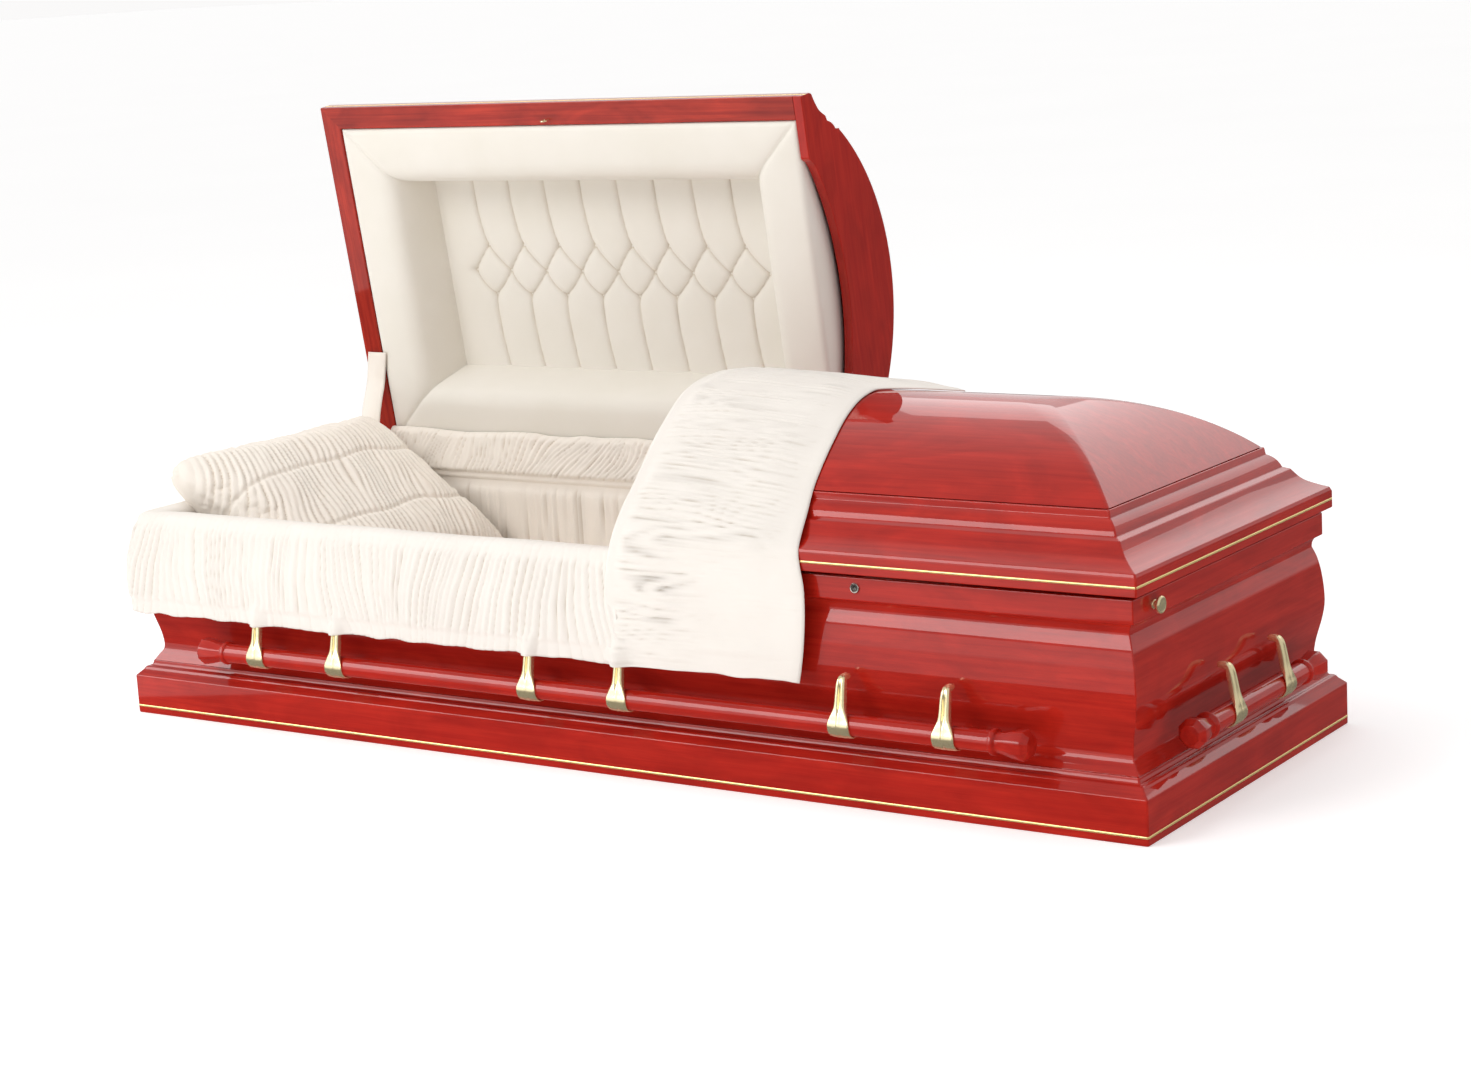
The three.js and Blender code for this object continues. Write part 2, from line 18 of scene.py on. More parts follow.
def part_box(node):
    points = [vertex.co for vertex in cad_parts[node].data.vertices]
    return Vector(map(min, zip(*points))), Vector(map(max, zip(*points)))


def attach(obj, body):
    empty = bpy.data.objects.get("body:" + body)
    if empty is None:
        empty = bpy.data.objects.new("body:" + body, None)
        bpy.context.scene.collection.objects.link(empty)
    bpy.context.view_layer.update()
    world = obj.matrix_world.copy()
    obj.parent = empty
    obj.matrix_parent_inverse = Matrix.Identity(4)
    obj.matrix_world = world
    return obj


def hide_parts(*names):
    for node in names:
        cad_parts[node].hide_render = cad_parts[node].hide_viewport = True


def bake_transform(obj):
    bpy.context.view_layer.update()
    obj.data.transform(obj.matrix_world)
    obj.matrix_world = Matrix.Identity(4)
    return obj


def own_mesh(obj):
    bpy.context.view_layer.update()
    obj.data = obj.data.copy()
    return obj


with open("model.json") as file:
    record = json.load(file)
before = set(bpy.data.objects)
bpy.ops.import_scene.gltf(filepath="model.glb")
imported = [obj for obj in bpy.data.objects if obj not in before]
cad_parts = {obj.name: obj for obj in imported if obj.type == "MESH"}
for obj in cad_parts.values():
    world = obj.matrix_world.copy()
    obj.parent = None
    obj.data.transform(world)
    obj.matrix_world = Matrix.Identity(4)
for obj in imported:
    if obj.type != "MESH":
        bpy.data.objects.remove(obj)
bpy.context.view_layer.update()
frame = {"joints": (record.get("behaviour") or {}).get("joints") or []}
MM = 0.001
HALF_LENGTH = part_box("base_moulding_foot")[1][0] / MM
HALF_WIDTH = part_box("base_moulding_back")[1][1] / MM
JOINTS = {joint["name"]: joint for joint in frame["joints"]}
HINGE = Vector(JOINTS["head_lid_hinge"]["pos_m"])
OPEN_ANGLE = math.radians(JOINTS["head_lid_hinge"]["range_deg"][0])
print(f"plinth {2 * HALF_LENGTH:.1f} by {2 * HALF_WIDTH:.1f} mm, lid open {OPEN_ANGLE:.3f} rad")

# %% [markdown]
# ## The camera
# The photograph was taken from the foot end's front corner with a long lens. A camera fitted to
# the straight edges of the plinth and the lids has this eye point and these turns. Its three
# axes are built from the turns, because a tilted camera is easier to read as axes than as Euler
# angles.

# %% Place the camera
PHOTO_WIDE, PHOTO_HIGH = 1471, 1069
EYE = Vector((2.970, -4.180, 1.344))
YAW, PITCH, ROLL = (math.radians(turn) for turn in (-34.65, 11.06, -3.32))
FOCAL_PIXELS = 2943.5
MIDDLE_PIXEL = (737.9, 528.7)
SENSOR = 36.0

ahead = Vector((math.sin(YAW) * math.cos(PITCH), math.cos(YAW) * math.cos(PITCH), -math.sin(PITCH)))
level = Vector((math.cos(YAW), -math.sin(YAW), 0))
upward = level.cross(ahead)
right = math.cos(ROLL) * level + math.sin(ROLL) * upward
above = math.cos(ROLL) * upward - math.sin(ROLL) * level
lens = bpy.data.cameras.new("camera")
lens.sensor_width = SENSOR
lens.lens = SENSOR * FOCAL_PIXELS / PHOTO_WIDE
lens.shift_x = (PHOTO_WIDE / 2 - MIDDLE_PIXEL[0]) / PHOTO_WIDE
lens.shift_y = (MIDDLE_PIXEL[1] - PHOTO_HIGH / 2) / PHOTO_WIDE
camera = bpy.data.objects.new("camera", lens)
camera.matrix_world = Matrix.Translation(EYE) @ Matrix((right, above, -ahead)).transposed().to_4x4()
bpy.context.scene.collection.objects.link(camera)
bpy.context.scene.camera = camera
print(f"camera of {lens.lens:.1f} mm at {tuple(EYE)}")

# %% [markdown]
# ## Finishes
# A finish is a tree of shader nodes. Short helpers keep the trees readable: they start a finish,
# add a node with its inputs, add a noise stretched along chosen axes, and ramp or mix colours.

# %% Helpers for shader trees
def new_finish(name, **shader_values):
    finish = bpy.data.materials.new(name)
    finish.use_nodes = True
    shader = finish.node_tree.nodes["Principled BSDF"]
    for socket, value in shader_values.items():
        shader.inputs[socket.replace("_", " ")].default_value = value
    return finish, finish.node_tree, shader


def add_node(tree, kind, inputs=None, **settings):
    made = tree.nodes.new(kind)
    for name, value in settings.items():
        setattr(made, name, value)
    for socket, value in (inputs or {}).items():
        if isinstance(value, bpy.types.NodeSocket):
            tree.links.new(value, made.inputs[socket])
        else:
            made.inputs[socket].default_value = value
    return made


def stretched_noise(tree, place, stretch, detail=3.0, roughness=0.55, distortion=0.0):
    scaled = add_node(tree, "ShaderNodeMapping", {"Vector": place, "Scale": stretch})
    noise_inputs = {
        "Vector": scaled.outputs["Vector"],
        "Scale": 1.0,
        "Detail": detail,
        "Roughness": roughness,
        "Distortion": distortion,
    }
    return add_node(tree, "ShaderNodeTexNoise", noise_inputs).outputs["Fac"]


def colour_ramp(tree, factor, stops):
    ramp = add_node(tree, "ShaderNodeValToRGB", {"Fac": factor})
    for extra in stops[2:]:
        ramp.color_ramp.elements.new(extra[0])
    for element, (place, colour) in zip(ramp.color_ramp.elements, stops):
        element.position = place
        element.color = (*colour, 1)
    return ramp.outputs["Color"]


def mixed(tree, kind, factor, a, b):
    mix = add_node(tree, "ShaderNodeMix", data_type="RGBA", blend_type=kind)
    for socket, value in ((0, factor), (6, a), (7, b)):
        if isinstance(value, bpy.types.NodeSocket):
            tree.links.new(value, mix.inputs[socket])
        else:
            mix.inputs[socket].default_value = value
    return mix.outputs[2]


print("shader helpers ready")

# %% [markdown]
# ### Lacquered cherry
# The wood is stained deep cherry red and buried under polished lacquer, so it takes two layers:
# a dull coloured one for the wood and a clear coat for the lacquer. The grain runs along each
# board. A mitred frame has boards that run two ways, so each piece carries an attribute named
# grain, whose first number runs along its board, and the streaks are a noise stretched along it.

# %% Make the lacquered cherry
def lacquered_cherry(name, dark, middle, bright, blotch):
    finish, tree, shader = new_finish(
        name, Roughness=0.5, Specular_IOR_Level=0.03,
        Coat_Weight=1.0, Coat_Roughness=0.025, Coat_IOR=1.45,
    )
    grain = add_node(tree, "ShaderNodeAttribute", attribute_name="grain").outputs["Vector"]
    streaks = stretched_noise(tree, grain, (3.2, 120, 120), detail=4, distortion=0.4)
    colour = colour_ramp(tree, streaks, [(0.22, dark), (0.80, bright), (0.50, middle)])
    pores = stretched_noise(tree, grain, (14, 620, 620), detail=2)
    pore_shade = colour_ramp(tree, pores, [(0.36, (0.72, 0.62, 0.62)), (0.50, (1, 1, 1))])
    colour = mixed(tree, "MULTIPLY", 0.22, colour, pore_shade)
    figure = stretched_noise(tree, grain, (5.5, 16, 16), detail=3, distortion=1.4)
    figure_shade = colour_ramp(tree, figure, [(0.34, (0.62, 0.50, 0.50)), (0.66, (1.16, 1.2, 1.2))])
    colour = mixed(tree, "MULTIPLY", blotch, colour, figure_shade)
    tree.links.new(colour, shader.inputs["Base Color"])
    return finish


cherry = lacquered_cherry(
    "lacquered cherry", (0.370, 0.009, 0.005), (0.450, 0.014, 0.007), (0.520, 0.023, 0.011), 0.42,
)
figured_cherry = lacquered_cherry(
    "figured cherry", (0.260, 0.008, 0.005), (0.410, 0.016, 0.008), (0.540, 0.040, 0.016), 0.72,
)
print("finishes:", cherry.name, "and", figured_cherry.name)

# %% [markdown]
# ### Metals
# The arms are pale polished brass, the pinstripes are gilt, and the lock is nickel. Polished
# metal is all reflection, so a faint noise in the roughness is what keeps it from looking like
# plastic: it stands for the wear of polishing cloths.

# %% Make the metals
def polished_metal(name, colour, low, high, metallic=1.0):
    finish, tree, shader = new_finish(name, Metallic=metallic, Base_Color=(*colour, 1))
    place = add_node(tree, "ShaderNodeTexCoord").outputs["Object"]
    wear = stretched_noise(tree, place, (90, 90, 90), detail=4)
    span = {"Value": wear, "To Min": low, "To Max": high}
    rough = add_node(tree, "ShaderNodeMapRange", span).outputs["Result"]
    tree.links.new(rough, shader.inputs["Roughness"])
    return finish


brass = polished_metal("polished brass", (0.95, 0.82, 0.50), 0.16, 0.32, metallic=0.85)
gilt = polished_metal("gilt", (0.98, 0.76, 0.32), 0.24, 0.42, metallic=0.6)
nickel = polished_metal("nickel", (0.66, 0.63, 0.58), 0.14, 0.30)
dark_nickel = polished_metal("dark nickel", (0.10, 0.09, 0.08), 0.30, 0.45)
print("metals:", brass.name, gilt.name, nickel.name)

# %% [markdown]
# ### Cloths
# The crepe is matt and crinkled, and the gathers are modelled, so its finish holds only what is
# finer than a gather: a crinkle about a millimetre wide and a slow drift of tone. A crease gets
# less light than its folds, so each cloth carries an attribute of painted shade that darkens its
# creases in the colour. The lid's padding is smooth velvet with a soft sheen.

# %% Make the cloths
# The tint darkens the colour in the creases: painted shade for the shade that falls into the folds.
CREASE_SHADE_TINT = (0.72, 0.64, 0.55)


def cloth_finish(name, colour, shade, crinkle_size, crinkle_depth, sheen):
    finish, tree, shader = new_finish(name, Roughness=0.88, Sheen_Weight=sheen, Sheen_Roughness=0.45)
    shader.inputs["Specular IOR Level"].default_value = 0.18
    place = add_node(tree, "ShaderNodeTexCoord").outputs["Object"]
    drift = stretched_noise(tree, place, (7, 7, 7), detail=3)
    tone = colour_ramp(tree, drift, [(0.3, shade), (0.7, colour)])
    # Painted shade: the attribute below mixes the colour towards a darker tint in the creases.
    painted_crease_shade = add_node(tree, "ShaderNodeAttribute", attribute_name="painted_crease_shade").outputs["Fac"]
    tone = mixed(tree, "MIX", painted_crease_shade, tone, (*(c * k for c, k in zip(shade, CREASE_SHADE_TINT)), 1))
    tree.links.new(tone, shader.inputs["Base Color"])
    fine = 1 / (crinkle_size * MM)
    crinkle = stretched_noise(tree, place, (fine, fine, fine * 0.6), detail=3, distortion=0.8)
    bump_inputs = {"Height": crinkle, "Strength": 0.6, "Distance": crinkle_depth * MM}
    bump = add_node(tree, "ShaderNodeBump", bump_inputs)
    tree.links.new(bump.outputs["Normal"], shader.inputs["Normal"])
    return finish


crepe = cloth_finish("cream crepe", (0.90, 0.84, 0.76), (0.86, 0.79, 0.71), 2.2, 0.5, 0.2)
pale_crepe = cloth_finish("pale crepe", (0.88, 0.83, 0.77), (0.84, 0.79, 0.73), 2.2, 0.5, 0.2)
velvet = cloth_finish("cream velvet", (0.84, 0.80, 0.73), (0.81, 0.77, 0.69), 0.9, 0.12, 0.25)
print("cloths:", crepe.name, pale_crepe.name, velvet.name)

# %% [markdown]
# ## Drawing mouldings
# A moulding is one outline run along a side. The outline is drawn as pairs: how far it lies in
# from the plinth's outer face, and its height. Lacquered arrises are never knife sharp, so a
# helper rounds each corner of an outline by about a millimetre; that thin round is what catches
# the light along every edge.

# %% Curves and rounded arrises
def bow(start, pull, end, steps=6):
    """Points of a curve that bends towards pull, without its start."""
    t = np.linspace(0, 1, steps + 1)[1:, None]
    a, c, b = (np.array(p, float) for p in (start, pull, end))
    return [tuple(p) for p in (1 - t) ** 2 * a + 2 * t * (1 - t) * c + t * t * b]


def flow(points, steps=5):
    """Points of a smooth curve through all the points given, without the first."""
    p = np.array([points[0], *points, points[-1]], float)
    out = []
    for k in range(1, len(p) - 2):
        t = np.linspace(0, 1, steps + 1)[1:, None]
        slope_a, slope_b = (p[k + 1] - p[k - 1]) / 2, (p[k + 2] - p[k]) / 2
        rise = p[k + 1] - p[k]
        out += [
            tuple(q)
            for q in p[k]
            + slope_a * t
            + (3 * rise - 2 * slope_a - slope_b) * t**2
            + (slope_a + slope_b - 2 * rise) * t**3
        ]
    return out


def swing(centre, radius, start_deg, end_deg, steps):
    """Points of an arc about centre, both ends included."""
    turns = np.radians(np.linspace(start_deg, end_deg, steps + 1))
    return [(centre[0] + radius * math.cos(a), centre[1] + radius * math.sin(a)) for a in turns]


def four_corners(x, y):
    """The corners of a plan from its foot end's front, each with the turn its rounding starts at."""
    return [((x, -y), -90), ((x, y), 0), ((-x, y), 90), ((-x, -y), 180)]


def soften(outline, radius=1.2, sharp_deg=24, steps=3):
    """A closed outline whose sharp corners are rounded."""
    p = np.array(outline, float)
    out = []
    for k, corner in enumerate(p):
        before, after = p[k - 1] - corner, p[(k + 1) % len(p)] - corner
        long_before, long_after = np.linalg.norm(before), np.linalg.norm(after)
        cosine = -before @ after / (long_before * long_after)
        if math.degrees(math.acos(np.clip(cosine, -1, 1))) < sharp_deg:
            out.append(tuple(corner))
            continue
        cut = min(radius, 0.4 * long_before, 0.4 * long_after)
        a, b = corner + before / long_before * cut, corner + after / long_after * cut
        out += [tuple(a), *bow(a, corner, b, steps)]
    return out


print("a right angle softened:", len(soften([(0, 0), (10, 0), (10, 10), (0, 10)])), "points")

# %% [markdown]
# ## Turning outlines into pieces
# Every wooden piece goes through one function. It takes rings of points, joins each ring to the
# next with faces and closes the ends. It writes the grain attribute while the piece is still in
# its closed place, and a piece of the open lid is then swung up about the hinge, so that its
# figure stays on the wood. Weighted normals keep the flats looking flat beside the small rounds.

# %% Helpers for pieces
OPENING = Matrix.Translation(HINGE) @ Matrix.Rotation(OPEN_ANGLE, 4, "X") @ Matrix.Translation(-HINGE)


def link_piece(name, mesh):
    piece = bpy.data.objects.new(name, mesh)
    bpy.context.scene.collection.objects.link(piece)
    return piece


def made_plain(piece):
    """The piece with its modifiers applied."""
    graph = bpy.context.evaluated_depsgraph_get()
    mesh = bpy.data.meshes.new_from_object(piece.evaluated_get(graph), depsgraph=graph)
    piece.modifiers.clear()
    old, piece.data = piece.data, mesh
    name = old.name
    bpy.data.meshes.remove(old)
    mesh.name = name
    return piece


def ring_faces(rings, around, closed=True, looped=False):
    """Faces between rings of equal count; looped joins the last ring to the first."""
    return [
        (r * around + k, r * around + (k + 1) % around,
         (r + 1) % rings * around + (k + 1) % around, (r + 1) % rings * around + k)
        for r in range(rings if looped else rings - 1)
        for k in range(around if closed else around - 1)
    ]


def tube_faces(rings, around):
    """Faces between closed rings, with a face over each end."""
    ends = [tuple(range(around)), tuple(range((rings - 1) * around, rings * around))]
    return ring_faces(rings, around) + ends


def shade_smooth(piece):
    for polygon in piece.data.polygons:
        polygon.use_smooth = True


def face_outwards(mesh, merge=0.0):
    """Turns a mesh's faces outwards, after points closer than merge are made one."""
    work = bmesh.new()
    work.from_mesh(mesh)
    if merge:
        bmesh.ops.remove_doubles(work, verts=work.verts, dist=merge)
    bmesh.ops.recalc_face_normals(work, faces=work.faces)
    work.to_mesh(mesh)
    work.free()


def mesh_from(name, points, faces, finish, painted_crease_shade=None):
    """A mesh in metres from points in millimetres, cleaned, with its faces outwards."""
    mesh = bpy.data.meshes.new(name)
    mesh.from_pydata((np.asarray(points, float) * MM).tolist(), [], faces)
    mesh.materials.append(finish)
    # The optional amount is painted shade for the creases, stored as a point attribute.
    if painted_crease_shade is not None:
        depth = mesh.attributes.new("painted_crease_shade", "FLOAT", "POINT")
        depth.data.foreach_set("value", np.clip(painted_crease_shade, 0, 1).astype(np.float32).ravel())
    face_outwards(mesh, merge=2e-6)
    return mesh


def vertex_places(mesh):
    flat = np.empty(len(mesh.vertices) * 3, np.float32)
    mesh.vertices.foreach_get("co", flat)
    return flat.reshape(-1, 3)


def write_grain(mesh, along, shift):
    """Stores where each point lies in its board: along the grain, then across it."""
    order = {"x": (0, 1, 2), "y": (1, 0, 2)}[along]
    places = vertex_places(mesh)[:, order] + np.array((shift * 0.73, shift * 0.31, 0), np.float32)
    attribute = mesh.attributes.new("grain", "FLOAT_VECTOR", "POINT")
    attribute.data.foreach_set("vector", places.astype(np.float32).ravel())


def keep_flats_flat(piece):
    shade_smooth(piece)
    piece.data.set_sharp_from_angle(angle=math.radians(WOOD_SHARP_DEG))
    weigh = piece.modifiers.new("flats", "WEIGHTED_NORMAL")
    weigh.keep_sharp = True
    return made_plain(piece)


WOOD_SHARP_DEG = 50
wood_count = 0


def wooden(name, points, faces, along, body, replaces=(), opened=False, finish=None, bevel=0.0):
    """A finished piece of lacquered wood that rides on its body."""
    global wood_count
    wood_count += 1
    mesh = mesh_from(name, points, faces, finish or cherry)
    write_grain(mesh, along, wood_count)
    if opened:
        mesh.transform(OPENING)
    piece = link_piece(name, mesh)
    if bevel:
        round_off = piece.modifiers.new("arris", "BEVEL")
        round_off.width = bevel * MM
        round_off.segments = 3
        round_off.limit_method = "ANGLE"
        round_off.angle_limit = math.radians(40)
        made_plain(piece)
    keep_flats_flat(piece)
    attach(piece, body)
    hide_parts(*replaces)
    return piece


print("the open lid is swung up by", round(-math.degrees(OPEN_ANGLE), 1), "degrees")

# %% [markdown]
# ## The box
# Three mouldings stand on each other round the box: the plinth, the swelling side panel and the
# top rail. Each is four boards mitred at the corners. The corners are rounded by a few
# millimetres, so each board turns half of its corner and meets its neighbour on the mitre.

# %% Run a moulding along a side
CORNER_TURN_STEPS = 4
SIDES = {
    "front": {"half": HALF_LENGTH, "reach": HALF_WIDTH, "grain": "x"},
    "foot": {"half": HALF_WIDTH, "reach": HALF_LENGTH, "grain": "y"},
    "back": {"half": HALF_LENGTH, "reach": HALF_WIDTH, "grain": "x"},
    "head": {"half": HALF_WIDTH, "reach": HALF_LENGTH, "grain": "y"},
}


def on_side(side, along, out, height):
    """A point given by its place along a side, its distance out from the middle and its height."""
    return {
        "front": (along, -out, height),
        "foot": (out, along, height),
        "back": (-along, out, height),
        "head": (-out, -along, height),
    }[side]


def moulding_rings(outline, side, start=None, end=None, corner=3.0):
    """Rings of a moulding. An end is a mitre, or the place along the side where it is cut square."""
    half, reach = SIDES[side]["half"], SIDES[side]["reach"]
    turns = np.radians(np.linspace(0, 45, CORNER_TURN_STEPS + 1))
    rings = []
    stations = [(-1, a) for a in turns[::-1]] if start is None else [(start, None)]
    stations += [(1, a) for a in turns] if end is None else [(end, None)]
    for place, turn in stations:
        ring = []
        for inset, height in outline:
            along, out = place, reach - inset
            if turn is not None:
                along = place * (half - inset - corner + corner * math.sin(turn))
                out = reach - inset - corner + corner * math.cos(turn)
            ring.append(on_side(side, along, out, height))
        rings.append(ring)
    return rings


def moulding(name, outline, side, body, start=None, end=None, corner=3.0, **rest):
    rings = moulding_rings(outline, side, start, end, corner)
    points = [point for ring in rings for point in ring]
    return wooden(name, points, tube_faces(len(rings), len(outline)), SIDES[side]["grain"], body, **rest)


PLINTH = soften([
    (2.5, 0), *bow((2.5, 0), (0, 0), (0, 2.5), 3), (0, 72), (11, 82.5), (12, 84),
    *bow((12, 84), (15, 89.5), (19, 88)), *bow((19, 88), (24, 88.5), (25, 98)),
    (38, 98), (38, 0),
])
PANEL = soften([
    (38.3, 0), (38.3, 98.3), (26.5, 98.3),
    *flow([(26.5, 98.3), (33, 108), (41, 122), (39, 150), (30, 190), (26.5, 220),
           (29, 260), (34.5, 292), (41.5, 313)], 7),
    *bow((41.5, 313), (42, 327), (32, 331), 8), (60, 331), (60, 0),
], sharp_deg=35)
RAIL = soften([(28, 331.3), (28, 370), (60, 370), (60, 331.3)], radius=2.4)

for side in SIDES:
    for kind, outline, corner in (
        ("base_moulding", PLINTH, 3.5), ("side_panel", PANEL, 2.0), ("top_rail", RAIL, 2.0),
    ):
        node = f"{kind}_{side}"
        moulding(f"{node}_wood", outline, side, "casket", corner=corner, replaces=[node])
print("box mouldings:", wood_count)

# %% [markdown]
# The bottom board is a plain panel between the walls. It is only seen from below, so a board with
# eased edges is enough: its cross section is drawn once and run from end to end.

# %% Lay the bottom board
BOARD_INSET, BOARD_THICK = 60.3, 18.0
board_half = HALF_WIDTH - BOARD_INSET
section = soften([
    (-board_half, 0), (board_half, 0), (board_half, BOARD_THICK), (-board_half, BOARD_THICK),
])
ends = (BOARD_INSET - HALF_LENGTH, HALF_LENGTH - BOARD_INSET)
board_points = [(x, y, z) for x in ends for y, z in section]
wooden("bottom_board_wood", board_points, tube_faces(2, len(section)), "x", "casket",
       replaces=["bottom_board"])
print("bottom board laid")

# %% [markdown]
# ## The lids
# A lid is a rim moulding, a crown that is an arch both ways with hipped corners, and a header
# board that closes the cut end over an arch. The crown's contour at any height is a rectangle
# with rounded corners that shrinks to the ridge, so it is lofted from such contours.

# %% Outlines of the lid
LID_BOTTOM, RIM_TOP, RIM_BACK = 377.0, 489.0, 120.0
CROWN_CENTRE, CROWN_RADIUS, CROWN_THICK = 207.0, 398.0, 16.0
LID_CUTS = {"head_lid": 100.0, "foot_lid": 104.0}
HEADER_THICK, HEADER_ARRIS, JOINT_GAP = 18.0, 1.3, 0.3
RIM_FACE = [
    (14.7, LID_BOTTOM), (14.7, 405), (17.7, 412),
    *flow([(17.7, 412), (35, 420), (52, 431), (66, 449)], 6),
    (76, 453), *bow((76, 453), (82, 470), (96, 477), 7), (98, RIM_TOP),
]
RIM = soften([*RIM_FACE, (RIM_BACK, RIM_TOP), (RIM_BACK, 468), (58, 415), (58, LID_BOTTOM)], 1.4)


def crown_half_width(height):
    return math.sqrt(CROWN_RADIUS**2 - (height - CROWN_CENTRE) ** 2)


print("crown half width at its foot:", round(crown_half_width(RIM_TOP), 1), "mm")


# %% Loft a crown
CROWN_STEPS, HIP_STEPS = 44, 5
HIP_ROUND_LOW, HIP_ROUND_HIGH = 5.0, 34.0


def crown_levels(radius, base):
    """(half width, height) from the crown's foot to its ridge."""
    low = math.degrees(math.asin((base - CROWN_CENTRE) / radius))
    return swing((0, CROWN_CENTRE), radius, low, 90, CROWN_STEPS)


def crown_contour(half_width, height, hip_x, cut_x, toward):
    widest = crown_half_width(RIM_TOP)
    share = 1 - half_width / widest
    round_off = min(HIP_ROUND_LOW + (HIP_ROUND_HIGH - HIP_ROUND_LOW) * share, half_width)
    end_x = hip_x + toward * half_width
    contour = [(cut_x, -half_width, height)]
    for corner, start in ((-1, -90), (1, 0)):
        for turn in np.radians(np.linspace(start, start + 90, HIP_STEPS * 2 + 1)):
            contour.append((
                end_x - toward * round_off + toward * round_off * math.cos(turn),
                corner * (half_width - round_off) + round_off * math.sin(turn),
                height,
            ))
    contour.append((cut_x, half_width, height))
    return contour


def crown(name, lid, opened):
    toward = 1 if lid == "foot_lid" else -1
    cut_x = toward * JOINT_GAP + (LID_CUTS[lid] + toward * HEADER_THICK)
    hip_x = toward * (HALF_LENGTH - HALF_WIDTH)
    outer = crown_levels(CROWN_RADIUS, RIM_TOP + 3.2)
    foot_width = crown_half_width(RIM_TOP)
    lip = [(foot_width - CROWN_THICK, RIM_TOP + JOINT_GAP), (foot_width - 4, RIM_TOP + JOINT_GAP),
           (foot_width - 1.5, RIM_TOP + 1.2)]
    inner = crown_levels(CROWN_RADIUS - CROWN_THICK, RIM_TOP + 2)[::-1]
    rings = [crown_contour(w, z, hip_x, cut_x, toward) for w, z in [*inner, *lip, *outer]]
    count = len(rings[0])
    points = [point for ring in rings for point in ring]
    faces = ring_faces(len(rings), count, closed=False)
    total = len(rings)
    for k in range(total // 2):
        a, b = k * count, (total - 1 - k) * count
        c, d = (k + 1) * count, (total - 2 - k) * count
        for end in (0, count - 1):
            faces.append((a + end, c + end, d + end, b + end) if c < d else (a + end, c + end, b + end))
    return wooden(name, points, faces, "x", lid, replaces=[f"{lid}_crown"], opened=opened)


for lid in LID_CUTS:
    shell = crown(f"{lid}_crown_wood", lid, lid == "head_lid")
    print(shell.name, len(shell.data.polygons), "faces")


# %% Run the rims and cut the headers
SHOULDER_INSET, ARCH_SPRING, ARCH_TOP = 126.0, (148.0, 396.0), 450.0


def header_outline():
    """The lid's own outline over the arch, as (y, z) from the front to the back and round below."""
    front = [(inset - HALF_WIDTH, height) for inset, height in RIM_FACE]
    foot = math.degrees(math.asin((RIM_TOP - CROWN_CENTRE) / CROWN_RADIUS))
    top = swing((0, CROWN_CENTRE), CROWN_RADIUS, 180 - foot, foot, 60)
    back = [(-y, z) for y, z in front[::-1]]
    shoulder = HALF_WIDTH - SHOULDER_INSET
    spring_y, spring_z = HALF_WIDTH - ARCH_SPRING[0], ARCH_SPRING[1]
    side = [(shoulder, LID_BOTTOM), *bow((shoulder, LID_BOTTOM), (shoulder - 6, LID_BOTTOM),
            (shoulder - 12, 389), 4), (spring_y, spring_z)]
    rise = ARCH_TOP - spring_z
    radius = (spring_y**2 + rise**2) / (2 * rise)
    half_turn = math.degrees(math.asin(spring_y / radius))
    arch = swing((0, ARCH_TOP - radius), radius, 90 - half_turn, 90 + half_turn, 40)[1:-1]
    other_side = [(-y, z) for y, z in side[::-1]]
    return [*front, *top, *back, *side, *arch, *other_side]


def lid_frame(lid, opened):
    toward = 1 if lid == "foot_lid" else -1
    end_side = "foot" if lid == "foot_lid" else "head"
    cut = LID_CUTS[lid]
    shell_cut = cut + toward * (HEADER_THICK + JOINT_GAP)
    front_ends = {"start": shell_cut} if toward > 0 else {"end": shell_cut}
    back_ends = {"end": -shell_cut} if toward > 0 else {"start": -shell_cut}
    rim_finish = figured_cherry if opened else cherry
    sides = (("front", "front", front_ends), ("back", "back", back_ends), (end_side, "end", {}))
    for side, part, ends in sides:
        moulding(f"{lid}_rim_{part}_wood", RIM, side, lid, **ends,
                 replaces=[f"{lid}_rim_{part}"], opened=opened, finish=rim_finish)
    outline = header_outline()
    points = [(x, y, z) for x in (cut, cut + toward * HEADER_THICK) for y, z in outline]
    wooden(f"{lid}_header_wood", points, tube_faces(2, len(outline)), "y", lid,
           replaces=[f"{lid}_header"], opened=opened, bevel=HEADER_ARRIS)


for lid in LID_CUTS:
    lid_frame(lid, lid == "head_lid")
print("wooden pieces so far:", wood_count)

# %% [markdown]
# ## Pinstripes
# A gilt line is let into the plinth near the floor and another into the nose of each lid. A line
# that follows a path is a job for Geometry Nodes: the path is a mesh of edges, a curve is made of
# it, and a flat profile is swept along it. The same tree serves all three lines.

# %% Sweep the pinstripes
def socket_named(tree, name):
    return next(item.identifier for item in tree.interface.items_tree if item.name == name)


def dress_and_end(tree, geometry, finish):
    """Makes instances real, gives them their finish and ends the tree."""
    real = add_node(tree, "GeometryNodeRealizeInstances", {"Geometry": geometry})
    dress = {"Geometry": real.outputs["Geometry"], "Material": finish}
    dressed = add_node(tree, "GeometryNodeSetMaterial", dress)
    result = add_node(tree, "NodeGroupOutput")
    tree.links.new(dressed.outputs["Geometry"], result.inputs["Geometry"])


